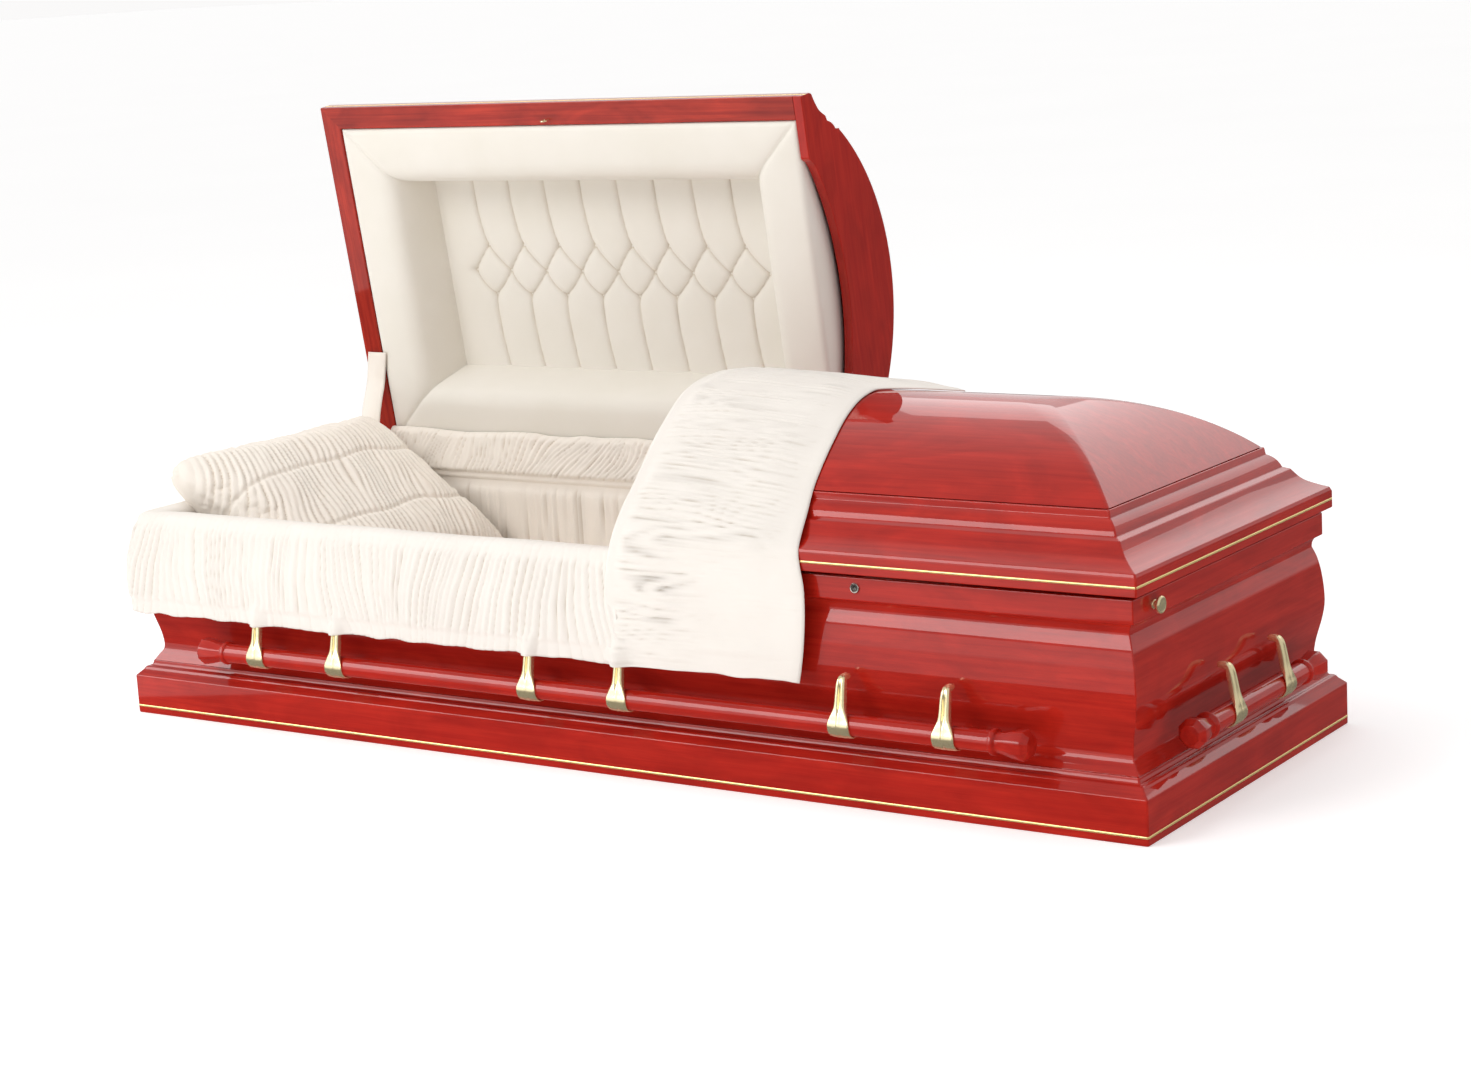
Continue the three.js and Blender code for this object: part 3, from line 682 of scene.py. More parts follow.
def stripe_tree():
    tree = bpy.data.node_groups.new("pinstripe", "GeometryNodeTree")
    tree.interface.new_socket("Path", in_out="INPUT", socket_type="NodeSocketGeometry")
    for name, size in (("Stripe width", 0.003), ("Stripe depth", 0.0008)):
        socket = tree.interface.new_socket(name, in_out="INPUT", socket_type="NodeSocketFloat")
        socket.default_value = size
    tree.interface.new_socket("Geometry", in_out="OUTPUT", socket_type="NodeSocketGeometry")
    source = add_node(tree, "NodeGroupInput")
    path = add_node(tree, "GeometryNodeMeshToCurve", {"Mesh": source.outputs["Path"]})
    sizes = {"Width": source.outputs["Stripe depth"], "Height": source.outputs["Stripe width"]}
    profile = add_node(tree, "GeometryNodeCurvePrimitiveQuadrilateral", sizes)
    sweep = {"Curve": path.outputs["Curve"], "Profile Curve": profile.outputs["Curve"], "Fill Caps": True}
    swept = add_node(tree, "GeometryNodeCurveToMesh", sweep)
    dress_and_end(tree, swept.outputs["Mesh"], gilt)
    return tree


STRIPE_WIDTH, STRIPE_DEPTH, STRIPE_PROUD = 3.8, 0.9, 0.25
stripe_maker = stripe_tree()


def stripe_path(inset, height, toward=0, cut=0.0, corner=3.5):
    """The plan of a stripe: all round the box, or round one lid from its cut end."""
    out = inset + STRIPE_DEPTH / 2 - STRIPE_PROUD
    long, wide = HALF_LENGTH - out - corner, HALF_WIDTH - out - corner
    loop = []
    for centre, start in four_corners(long, wide):
        loop += swing(centre, corner, start, start + 90, 6)
    if toward > 0:
        loop = [(cut, loop[0][1]), *loop[:14], (cut, loop[13][1])]
    if toward < 0:
        loop = [(cut, loop[14][1]), *loop[14:], (cut, loop[-1][1])]
    return [(x, y, height) for x, y in loop]


def pinstripe(name, body, path, closed, opened=False):
    edges = [(k, k + 1) for k in range(len(path) - 1)] + ([(len(path) - 1, 0)] if closed else [])
    mesh = bpy.data.meshes.new(name)
    mesh.from_pydata((np.array(path) * MM).tolist(), edges, [])
    stripe = link_piece(name, mesh)
    sweep = stripe.modifiers.new("sweep", "NODES")
    sweep.node_group = stripe_maker
    sweep[socket_named(stripe_maker, "Stripe width")] = STRIPE_WIDTH * MM
    sweep[socket_named(stripe_maker, "Stripe depth")] = STRIPE_DEPTH * MM
    made_plain(stripe)
    if opened:
        stripe.data.transform(OPENING)
    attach(stripe, body)
    print(name, len(stripe.data.polygons), "faces")


PLINTH_STRIPE_HEIGHT, LID_STRIPE_HEIGHT, NOSE_INSET = 14.0, 392.0, 14.7
pinstripe("plinth_pinstripe", "casket", stripe_path(0, PLINTH_STRIPE_HEIGHT), True)
for lid, toward in (("head_lid", -1), ("foot_lid", 1)):
    path = stripe_path(NOSE_INSET, LID_STRIPE_HEIGHT, toward, LID_CUTS[lid])
    pinstripe(f"{lid}_pinstripe", lid, path, False, opened=lid == "head_lid")

# %% [markdown]
# ## Ears
# Eight wooden ears carry the handle arms. An ear is sawn to a shaped outline, its front arris is
# rounded over broadly, and its back is fitted to the swelling panel. The outline is offset
# inwards step by step to make the rounding, and two slots with round heads are cut through it
# for the arms.

# %% Shape the ears
EAR_BOTTOM, EAR_TOP, EAR_WIDE, EAR_INSET, EAR_ROUND = 192.0, 290.0, 300.0, 2.0, 10.0
EAR_PITCH, ARM_SPREAD = 625.0, 95.0
EAR_PLACES = {"front": (-1, 0, 1), "back": (-1, 0, 1), "head": (0,), "foot": (0,)}
SLOT_HALF_WIDE, SLOT_LOW, SLOT_HIGH = 8.5, 203.0, 227.0


def bend(start, pull_a, pull_b, end, steps=8):
    """Points of a curve with two pulls, without its start."""
    t = np.linspace(0, 1, steps + 1)[1:, None]
    a, c, d, b = (np.array(p, float) for p in (start, pull_a, pull_b, end))
    points = (1 - t) ** 3 * a + 3 * t * (1 - t) ** 2 * c + 3 * t * t * (1 - t) * d + t**3 * b
    return [tuple(p) for p in points]


def ear_outline():
    w, h = EAR_WIDE / 2, EAR_TOP - EAR_BOTTOM
    half = [(0, 13), *bow((0, 13), (22, 13), (40, 2), 8),
            *bend((40, 2), (52, -2), (w - 60, -3), (w - 14, 0)),
            *bend((w - 14, 0), (w - 26, 26), (w - 20, 40), (w - 6, 52)),
            *bow((w - 6, 52), (w + 3, 62), (w, h - 24)), *bow((w, h - 24), (w, h), (w - 26, h), 8)]
    return np.array([*half, *[(-x, z) for x, z in half[:0:-1]]]) + np.array((0, EAR_BOTTOM))


def shrunk(outline, distance):
    """A closed outline moved inwards, square to itself."""
    forward = np.roll(outline, -1, 0) - np.roll(outline, 1, 0)
    normal = np.stack([-forward[:, 1], forward[:, 0]], 1)
    normal /= np.linalg.norm(normal, axis=1)[:, None]
    middle = outline.mean(0)
    if ((middle - outline) * normal).sum() < 0:
        normal = -normal
    return outline + normal * distance


def panel_inset(height):
    """How far in the side panel's face lies at a height."""
    face = sorted((z, d) for d, z in PANEL if 98.3 < z < 331 and d < 50)
    return np.interp(height, [z for z, _ in face], [d for _, d in face])


def ear_solid():
    """The ear as (along, out, height) points and faces; out is measured from the plinth's face."""
    outline = ear_outline()
    rings = [np.column_stack([outline[:, 0], -panel_inset(outline[:, 1]) - 1.5, outline[:, 1]])]
    for turn in np.radians(np.linspace(0, 90, 6)):
        ring = shrunk(outline, EAR_ROUND * (1 - math.cos(turn)))
        out = -EAR_INSET - EAR_ROUND * (1 - math.sin(turn))
        rings.append(np.column_stack([ring[:, 0], np.full(len(ring), out), ring[:, 1]]))
    return np.concatenate(rings), tube_faces(len(rings), len(outline))


def slot_solid(place):
    half = SLOT_HALF_WIDE
    head = swing((place, SLOT_HIGH - half), half, 0, 180, 12)
    outline = [*head, *swing((place, SLOT_LOW + 3), half, 180, 360, 12)]
    points = [(x, out, z) for out in (-60.0, 10.0) for x, z in outline]
    return points, tube_faces(2, len(outline))


def cut_away(points, faces, cutters):
    """Points and faces of a solid after the cutters are taken out of it."""
    block = link_piece("cut block", mesh_from("cut block", points, faces, cherry))
    tools = [link_piece("cutter", mesh_from("cutter", *cutter, cherry)) for cutter in cutters]
    for tool in tools:
        cut = block.modifiers.new("cut", "BOOLEAN")
        cut.operation = "DIFFERENCE"
        cut.object = tool
        cut.solver = "EXACT"
    made_plain(block)
    places = vertex_places(block.data) / MM
    polygons = [tuple(polygon.vertices) for polygon in block.data.polygons]
    for spent in (block, *tools):
        bpy.data.objects.remove(spent)
    return places, polygons


def placed(side, shift, points):
    """Points drawn as (along, out from the plinth's face, height), put on a side."""
    reach = SIDES[side]["reach"]
    return [on_side(side, along + shift, reach + out, height) for along, out, height in points]


ear_points, ear_faces = cut_away(*ear_solid(), [slot_solid(-ARM_SPREAD), slot_solid(ARM_SPREAD)])
for side, places in EAR_PLACES.items():
    for number, place in enumerate(places, 1):
        node = f"ear_{side}_{number}"
        points = placed(side, place * EAR_PITCH, ear_points)
        wooden(f"{node}_wood", points, ear_faces, SIDES[side]["grain"], "casket", replaces=[node])
print("an ear has", len(ear_faces), "faces")

# %% [markdown]
# ## Arms
# An arm is cast brass. It leaves its slot level, turns down over a rounded shoulder, runs down a
# grooved shank and spreads into a strap that curls under the bar. It is lofted: each station
# along the arm's face has a width, a thickness and the depth of the groove, and one level of
# subdivision melts the stations into a casting.

# %% Cast the arms
PIVOT_INSET, PIVOT_HEIGHT = 9.2, 213.0
BAR_OUT, BAR_HEIGHT = 5.0, 138.0
STRAP_RADIUS, STRAP_WIDE, STRAP_THICK = 21.4, 40.0, 3.5
GROOVE_HALF = 2.6
ARM_SPAN = (BAR_OUT + PIVOT_INSET, BAR_HEIGHT - PIVOT_HEIGHT)


def arm_section(out, up, lean_deg, wide, thick, groove=0.0):
    """One ring of the arm: its face is at (out, up) and faces the way that lean says."""
    r, g = min(2.6, thick * 0.42), GROOVE_HALF
    half = wide / 2
    dip = 0.9
    face = [(-half, r), (-half + 0.3 * r, 0.3 * r), (-half + r, 0), (-g - 1.3, -dip),
            (-g, groove * 0.25 - dip * 0.6), (-g * 0.5, groove)]
    back = [(half, thick - r), (half - 0.3 * r, thick - 0.3 * r), (half - r, thick)]
    ring = face + [(-x, d) for x, d in face[::-1]] + back + [(-x, d) for x, d in back[::-1]]
    lean = math.radians(lean_deg)
    return [(x, out - d * math.cos(lean), up - d * math.sin(lean)) for x, d in ring]


def arm_solid():
    shank = [
        (-7, 4.4, 90, 10.5, 8.5, 0), (2, 5.2, 90, 11.5, 9.5, 0), (8.5, 5.4, 84, 12.5, 10.5, 0),
        (15, 3.6, 60, 14, 11, 0), (19.4, -1.6, 34, 15.5, 11.2, 0.2), (21.6, -8, 18, 16.5, 11.4, 1.2),
        (22.8, -12.8, 13, 17.2, 11.6, 3.8), (25.6, -26, 11, 18, 12, 4.6),
        (28.2, -40, 11, 19, 12.4, 4.6), (29.6, -47, 13, 21, 11.5, 3.4),
        (31, -53, 18, 27, 9, 1.0), (32.6, -59.5, 24, 33, 6, 0),
    ]
    sections = [arm_section(*station) for station in shank]
    for turn in (27, 12, -6, -26, -48, -70, -92, -112, -125):
        lean = math.radians(turn)
        out = ARM_SPAN[0] + STRAP_RADIUS * math.cos(lean)
        up = ARM_SPAN[1] + STRAP_RADIUS * math.sin(lean)
        wide = STRAP_WIDE - 3.5 * max(0, (turn - 12) / 15)
        sections.append(arm_section(out, up, turn, wide, STRAP_THICK))
    points = np.array([point for section in sections for point in section])
    return points + np.array((0, -PIVOT_INSET, PIVOT_HEIGHT)), tube_faces(len(sections), len(sections[0]))


def metal_piece(name, points, faces, finish, body, node, slot, levels=1, sharp_deg=60):
    piece = link_piece(name, mesh_from(name, points, faces, finish))
    if levels:
        melt = piece.modifiers.new("melt", "SUBSURF")
        melt.levels = melt.render_levels = levels
    shade_smooth(piece)
    made_plain(piece)
    piece.data.set_sharp_from_angle(angle=math.radians(sharp_deg))
    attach(piece, body)
    if node:
        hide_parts(node)


arm_points, arm_faces = arm_solid()
for side, places in EAR_PLACES.items():
    number = 0
    for place in places:
        for hand in (-1, 1):
            number += 1
            node = f"arm_{side}_{number}"
            points = placed(side, place * EAR_PITCH + hand * ARM_SPREAD, arm_points)
            body = f"{side}_handle"
            metal_piece(f"{node}_brass", points, arm_faces, brass, body, node, "polished_brass")
print("an arm has", len(arm_faces), "faces before subdivision")

# %% [markdown]
# ## Bars
# A bar is a turned rod with a ring turned near each end and a knob beyond it that flares and is
# cut to eight sides. The rings of points know how far they are from round: a share of 0 is a
# circle and a share of 1 is an octagon.

# %% Turn the bars
BAR_AROUND, KNOB_LONG, LONG_BAR, SHORT_BAR = 48, 64.0, 1734.0, 486.0
BAR_END = [
    (-12, 17.5, 0), (-7, 17.5, 0), (-5.2, 18.0, 0), (-4.6, 19.8, 0), (-2.8, 21.2, 0), (0, 21.7, 0),
    (2.8, 21.2, 0), (4.6, 19.6, 0), (5.2, 17.4, 0.2), (7, 16.6, 0.5), (12, 17.2, 0.85),
    (22, 19.6, 1), (34, 22.8, 1), (44, 24.5, 1), (52, 25.2, 1), (54, 24.8, 1), (55, 24.2, 1),
    (61.6, 18.6, 1), (63, 17.2, 1), (KNOB_LONG, 15.8, 1),
]


def bar_ring(place, radius, share):
    ring = []
    for k in range(BAR_AROUND):
        turn = 2 * math.pi * k / BAR_AROUND
        from_flat = (turn + math.pi / 8) % (math.pi / 4) - math.pi / 8
        flat = math.cos(math.pi / 8) / math.cos(from_flat)
        r = radius * (1 - share + share * flat)
        ring.append((place, BAR_OUT + r * math.cos(turn), BAR_HEIGHT + r * math.sin(turn)))
    return ring


for side, places in EAR_PLACES.items():
    shoulder = (LONG_BAR if len(places) > 1 else SHORT_BAR) / 2 - KNOB_LONG
    stations = [(-shoulder - x, r, q) for x, r, q in BAR_END[::-1]]
    stations += [(shoulder + x, r, q) for x, r, q in BAR_END]
    rings = [bar_ring(*station) for station in stations]
    points = placed(side, 0, [point for ring in rings for point in ring])
    faces = tube_faces(len(rings), BAR_AROUND)
    wooden(f"bar_{side}_wood", points, faces, SIDES[side]["grain"], f"{side}_handle",
           replaces=[f"bar_{side}"])
print("bars:", len(EAR_PLACES))

# %% [markdown]
# ## Lock, knob and catch
# Small turned metal parts finish the front and the foot end. A turned part is an outline spun
# round its own axis, so one function makes the lock's rose, its plug and the end's knob. The
# catch in the open lid is a bent ring of wire.

# %% Turn the small metal parts
def turned(outline, centre, axis, around=40):
    """Points and faces of (radius, rise) pairs spun about an axis through centre."""
    side_a, along = {"x": ((0, 1, 0), (1, 0, 0)), "-y": ((1, 0, 0), (0, -1, 0))}[axis]
    a, b, c = (np.array(v, float) for v in (side_a, (0, 0, 1), along))
    points = []
    for radius, rise in outline:
        for k in range(around):
            turn = 2 * math.pi * k / around
            points.append(np.array(centre) + radius * (math.cos(turn) * a + math.sin(turn) * b) + rise * c)
    return points, tube_faces(len(outline), around)


RAIL_FACE = 28.0
LOCK = (542.0, RAIL_FACE - HALF_WIDTH, 353.0)
rose = [(5.2, 0), (8.5, 0), (8.5, 1.6), (8.1, 2.4), (7.4, 2.9), (6.7, 2.8), (6.1, 2.2), (5.8, 1.2),
        (5.7, 0.2), (5.2, 0.2)]
metal_piece("lock_escutcheon_rose", *turned(rose, LOCK, "-y"), nickel, "casket", "lock_escutcheon",
            "nickel", levels=0, sharp_deg=35)
plug = [(5.4, -0.4), (5.4, 0.9), (5.0, 1.2), (2.6, 1.2), (2.0, 0.9), (0.4, 0.8)]
plug_points, plug_faces = turned(plug, LOCK, "-y")
key_way = [(LOCK[0] + x, LOCK[1] + y, LOCK[2] + z)
           for x in (-0.7, 0.7) for y in (-3, 0.2) for z in (-3.4, 1.2)]
box_faces = [(0, 1, 3, 2), (4, 6, 7, 5), (0, 4, 5, 1), (2, 3, 7, 6), (0, 2, 6, 4), (1, 5, 7, 3)]
plug_points, plug_faces = cut_away(plug_points, plug_faces, [(key_way, box_faces)])
metal_piece("lock_plug", plug_points, plug_faces, dark_nickel, "casket", None, "nickel",
            levels=0, sharp_deg=35)

KNOB = (HALF_LENGTH - RAIL_FACE + JOINT_GAP, -285.0, 350.0)
knob_outline = [(8, 0), (8, 1.6), (7.4, 2.6), (6.2, 3.6), (6, 5.2), (7, 7), (10.8, 8.4), (13.2, 9.8),
                (14, 11.6), (13.8, 13.4), (12.8, 15), (11.4, 15.8), (10.4, 15.7), (9.6, 15.3), (6, 15.8),
                (3, 16.2), (0.5, 16.3)]
metal_piece("end_knob_brass", *turned(knob_outline, KNOB, "x"), brass, "casket", "end_knob",
            "polished_brass", levels=0, sharp_deg=40)

CATCH = (-478.0, -333.0, 377.0)
CATCH_RING, CATCH_WIRE = 8.5, 1.4


def catch_ring():
    """A flattened ring of wire, as points and faces."""
    around, along = 12, 36
    points = []
    for k in range(along):
        turn = 2 * math.pi * k / along
        middle = np.array((CATCH_RING * 0.7 * math.cos(turn), 0, -5.2 + CATCH_RING * math.sin(turn)))
        outward = np.array((math.cos(turn), 0, math.sin(turn)))
        for j in range(around):
            side = 2 * math.pi * j / around
            wire = CATCH_WIRE * (math.cos(side) * outward + math.sin(side) * np.array((0, 1, 0)))
            points.append(np.array(CATCH) + middle + wire)
    return points, ring_faces(along, around, looped=True)


catch = link_piece("lid_catch_ring", mesh_from("lid_catch_ring", *catch_ring(), brass))
catch.data.transform(OPENING)
shade_smooth(catch)
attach(catch, "head_lid")
print("metal parts turned")

# %% [markdown]
# ## Gathered cloth
# Crepe is gathered by sewing it to a band shorter than itself, so that it stands in many small
# folds, each rounded on top with a narrow crease beside it. The size of a sine wave, whatever its
# sign, has just that shape. A smooth noise crowds and spreads the wave, and another lets each
# crease fade in and out along its length. Each cloth is a grid of points on its resting surface,
# raised square to it by the gathers.

# %% Helpers for gathered cloth
NOISE_CELLS = 251


def smooth_noise(across, along, seed):
    """A smooth noise from -1 to 1 on a plane of unit cells."""
    table = np.random.default_rng(seed).uniform(-1, 1, (NOISE_CELLS, NOISE_CELLS))
    column, row = np.floor(across).astype(int), np.floor(along).astype(int)
    s, t = across - column, along - row
    s, t = s * s * (3 - 2 * s), t * t * (3 - 2 * t)
    ends = []
    for b in (0, 1):
        left = table[column % NOISE_CELLS, (row + b) % NOISE_CELLS]
        right = table[(column + 1) % NOISE_CELLS, (row + b) % NOISE_CELLS]
        ends.append(left * (1 - s) + right * s)
    return ends[0] * (1 - t) + ends[1] * t


def gathers(across, along, pitch, length, seed):
    """Folds that run along: 0 in the creases and about 1 on the folds. Sizes are in mm."""
    phase = across / pitch + 1.1 * smooth_noise(across / (4 * pitch), along / length, seed)
    ridge = np.abs(np.sin(np.pi * phase))
    number = np.round(phase)
    depth = np.clip(0.86 + 0.7 * smooth_noise(1.37 * number, along / (0.7 * length), seed + 1), 0, 1)
    fine = np.abs(smooth_noise(across / (0.6 * pitch), along / (0.6 * length), seed + 2))
    return 1.15 * (1 - depth * (1 - ridge**0.65)) + 0.2 * fine**0.8


def ease(value, low, high):
    """0 at low and 1 at high, smooth between them, held beyond them."""
    t = np.clip((value - low) / (high - low), 0, 1)
    return t * t * (3 - 2 * t)


def evenly(points, step):
    """Points a step apart on a smooth line through the points given, and their distances."""
    line = np.array([points[0], *flow(points)], float)
    run = np.concatenate([[0], np.cumsum(np.linalg.norm(np.diff(line, axis=0), axis=1))])
    distance = np.linspace(0, run[-1], max(2, round(run[-1] / step) + 1))
    return np.stack([np.interp(distance, run, line[:, k]) for k in range(line.shape[1])], 1), distance


def raised(base, relief):
    """A grid of points moved by relief along its own normals."""
    down, across = np.gradient(base, axis=0), np.gradient(base, axis=1)
    normal = np.cross(across, down)
    normal /= np.linalg.norm(normal, axis=2, keepdims=True) + 1e-9
    return base + normal * relief[..., None]


def crease_shade_amount(folds, strength):
    """How much painted shade a point of gathered cloth gets for lying deep in a crease, from 0 to 1."""
    return 0.9 * np.clip(strength, 0, 1) * np.exp(-((folds / 0.38) ** 2))


def cloth_piece(name, grid, finish, body, thick=0.0, closed=False, opened=False):
    """A grid of points, and how much painted crease shade each gets, as a piece of cloth; a thickness closes
    it.
    """
    places, painted_crease_shade = grid
    rows, columns = places.shape[:2]
    faces = ring_faces(rows, columns, closed)
    piece = link_piece(name, mesh_from(name, places.reshape(-1, 3), faces, finish, painted_crease_shade))
    if opened:
        piece.data.transform(OPENING)
    if thick:
        layer = piece.modifiers.new("thickness", "SOLIDIFY")
        layer.thickness = thick * MM
        layer.offset = 0
        made_plain(piece)
    return dressed_cloth(piece, body)


def dressed_cloth(piece, body):
    face_outwards(piece.data)
    shade_smooth(piece)
    if body:
        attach(piece, body)
    print(piece.name, len(piece.data.polygons), "faces")
    return piece


# %% [markdown]
# ## The apron
# The apron hangs over the front rail of the open half. A rolled band lies on the rail, the cloth
# falls from it in fine upright gathers, and a plain hem ends them just above the handle. It turns
# the head corner and ends a hand's width along the end. Where an arm leaves its slot the hem
# rides up over it.

# %% Hang the apron
APRON_START, APRON_RETURN, APRON_CORNER = 95.0, 171.0, 22.0
APRON_ROW, APRON_COLUMN, APRON_THICK = 4.0, 2.6, 1.2
APRON_SECTION = [(68, 360), (66.5, 371), (59, 380), (46, 382.6), (34, 382.2), (26.5, 377.5), (23, 370),
                 (19, 353), (10, 318), (2.5, 292), (0.6, 268), (0.3, 240), (0.3, 197)]
APRON_HEM, ARM_COVER, ARM_COVER_HALF = 197.0, 20.0, 17.0


def over_arms(x, height):
    """How far a hanging hem is pushed out by the arms under it."""
    push = 0
    for place in EAR_PLACES["front"]:
        for hand in (-1, 1):
            arm = place * EAR_PITCH + hand * ARM_SPREAD
            push = push + np.exp(-((x - arm) / ARM_COVER_HALF) ** 2)
    return ARM_COVER * push * ease(height, 248, 200)


def apron_plan(inset, front, corner, side):
    """Plan points at an inset: along the front, round the head corner, along the end."""
    radius = max(APRON_CORNER - inset, 1.5)
    x, y = inset + radius - HALF_LENGTH, inset + radius - HALF_WIDTH
    turn = np.radians(-90 - 90 * corner)
    xs = [APRON_START + (x - APRON_START) * front, x + radius * np.cos(turn), np.full(len(side), x - radius)]
    ys = [np.full(len(front), y - radius), y + radius * np.sin(turn), y + (-APRON_RETURN - y) * side]
    return np.concatenate(xs), np.concatenate(ys)


def apron_grid():
    section, _ = evenly(APRON_SECTION, APRON_ROW)
    front = np.linspace(0, 1, round((HALF_LENGTH + APRON_START) / APRON_COLUMN))
    side = np.linspace(0, 1, round((HALF_WIDTH - APRON_RETURN) / APRON_COLUMN))[1:]
    corner = np.linspace(0, 1, 10)[1:-1]
    grid = np.zeros((len(section), len(front) + len(corner) + len(side), 3))
    for row, (inset, height) in enumerate(section):
        grid[row, :, 0], grid[row, :, 1] = apron_plan(inset, front, corner, side)
        grid[row, :, 2] = height
    steps = np.linalg.norm(np.diff(grid[-1, :, :2], axis=0), axis=1)
    run = np.concatenate([[0], np.cumsum(steps)])[None, :] + 0 * grid[..., 2]
    height = grid[..., 2].copy()
    lean = 0.28 * smooth_noise(run / 190, 0 * run, 41) - 0.05
    folds = gathers(run + lean * (370 - height), height, 14, 420, 42)
    outside = (np.arange(len(section)) > np.argmax(section[:, 1]))[:, None]
    strength = outside * (0.15 + 0.85 * ease(height, 366, 350)) * (1 - 0.62 * ease(height, 234, 222))
    strength = strength * (0.9 + 0.15 * smooth_noise(run / 85, height / 90, 47))
    relief = 6.8 * strength * folds + over_arms(grid[..., 0], height) * (grid[..., 1] < -300)
    relief += 1.2 * ease(height, 232, 224) * ease(height, 222, 230) * 4
    relief += 0.5 * smooth_noise(run / 55, height / 40, 51) * (1 - outside)
    grid = raised(grid, relief)
    grid[..., 2] += 3.0 * smooth_noise(run / 38, 0 * run, 45) * ease(height, 240, APRON_HEM)
    grid[..., 2] += 0.8 * smooth_noise(run / 70, 0 * run, 46) * ease(height, 366, 380)
    # The creases also get painted shade in the colour.
    return grid, crease_shade_amount(folds, strength)


apron = cloth_piece("apron_cloth", apron_grid(), pale_crepe, "casket", APRON_THICK)
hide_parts("apron")
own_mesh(apron)

# %% [markdown]
# ## The throw
# The throw lies over the inner end of the foot lid. It is lightly padded, so it stands off the
# crown by an inch at its rolled left edge and thins out to nothing at the right. Both edges are
# given as lines in space from the front hem up over the crown, and the cloth is spread between
# them. Its gathers run across it, strongest beside the rolled edge.

# %% Lay the throw
THROW_ROW, THROW_COLUMN, THROW_ROLL, THROW_THICK = 4.2, 6.0, 13.0, 1.6
THROW_LEFT_RADIUS, THROW_RIGHT_RADIUS = 424.0, 402.8


def on_arch(pairs, radius):
    return [(x, y, CROWN_CENTRE + math.sqrt(radius**2 - y**2)) for x, y in pairs]


THROW_LEFT = [
    (55, -385, 198), (57, -384.5, 240), (62, -384, 300), (69, -383, 350), (76, -379, 392),
    (82, -368, 426), (87, -349, 458), (89, -322, 486),
    *on_arch([(88, -283), (83, -240), (77, -195), (68, -152), (60, -112), (56, -68), (55, -20),
              (55, 15), (56, 40), (57, 66), (58, 95)], THROW_LEFT_RADIUS),
]
THROW_RIGHT = [
    (445, -381, 196), (454, -381, 240), (460, -379, 300), (459, -376, 350), (451, -372, 386),
    (447, -367, 411), (441, -345, 434), (434, -314, 462),
    *on_arch([(427, -280), (422, -236), (415, -190), (406, -148), (397, -106), (388, -62), (380, -16),
              (378, 15), (402, 38), (445, 56), (500, 92)], THROW_RIGHT_RADIUS),
]


def throw_grid():
    both, run = evenly([(*a, *b) for a, b in zip(THROW_LEFT, THROW_RIGHT)], THROW_ROW)
    left, right = both[:, None, :3], both[:, None, 3:]
    width = np.linalg.norm(right - left, axis=2)
    slope = np.gradient(both[:, 1:3], axis=0)
    slope /= np.linalg.norm(slope, axis=1)[:, None]
    outward = np.column_stack([0 * run, -slope[:, 1], slope[:, 0]])[:, None, :]
    roll = np.radians(np.linspace(215, 95, 10))
    columns = round(390 / THROW_COLUMN)
    share = np.linspace(0, 1, columns)[None, :]
    flat = left + (right - left) * (THROW_ROLL / width + (1 - THROW_ROLL / width) * share)[..., None]
    toward = (right - left) / width[..., None]
    edge = left + toward * (THROW_ROLL * (1 + np.cos(roll)))[None, :, None]
    edge = edge - outward * (THROW_ROLL * (1 - np.sin(roll)))[None, :, None]
    grid = np.concatenate([edge, flat], axis=1)
    across = np.concatenate([np.full((len(run), len(roll)), 0.0), share * width], axis=1)
    part = across / width
    along = run[:, None] + 0 * across
    height = grid[..., 2]
    upper = ease(along, 240, 330)
    tilt = 0.05 * across * smooth_noise(along / 120, 0 * along, 61)
    folds = gathers(along + tilt, across, 11, 130, 62)
    near = ease(across, 6, 34)
    strength = upper * near * ease(part, 0.98, 0.74)
    strength = strength + (1 - upper) * near * (0.12 + 0.88 * ease(part, 0.56, 0.28))
    strength *= 0.8 + 0.5 * smooth_noise(part * 3.3, along / 90, 66)
    long_folds = np.maximum(0, smooth_noise(along / 30, across / 240, 71)) * ease(part, 0.3, 0.6)
    relief = 4.8 * folds * strength + 3.0 * long_folds * (1 - upper) * ease(part, 1.0, 0.85)
    relief += over_arms(grid[..., 0], height) * (along < 100)
    relief += 4.0 * np.sin(np.pi * np.clip(part, 0, 1)) * upper
    relief -= 2.5 * ease(part, 0.965, 1.0)
    points = grid + outward * relief[..., None]
    points[..., 2] += 2.2 * smooth_noise(across / 45, 0 * across, 74) * ease(along, 50, 0)
    # The creases also get painted shade in the colour, at a weaker strength.
    return points, crease_shade_amount(folds, 0.6 * strength)


throw = cloth_piece("throw_cloth", throw_grid(), pale_crepe, "foot_lid", THROW_THICK)
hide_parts("throw")
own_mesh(throw)

# %% [markdown]
# ## Lining of the open lid
# The lid is lined like a picture in a deep frame. A padded border of smooth velvet runs round it
# and is mitred in the corners, where the seams pull it in. It is drawn closed, like the lid, as
# one section that is carried round four sides, and then swung open with the lid.

# %% Pad the border
BORDER_BOX = (-996.0, 81.0, -322.15, 322.15)
BORDER_INSET, BORDER_STATION, SEAM_DEEP, SEAM_WIDE = 59.3, 9.0, 5.0, 8.0
BORDER_FACE = [(59.3, 386), (60.5, 379), (66, 375.5), (80, 374), (100, 373.4), (120, 373.6),
               (136, 374.6), (147, 377.5), (157, 383), (165, 392), (171, 406), (177, 426),
               (183, 452), (188, 478), (189.5, 492)]
BORDER_BACK = [(189.5, 492), (183, 493), (160, 493), (140, 490), (120, 466), (90, 440), (64, 414),
               (59.3, 405)]


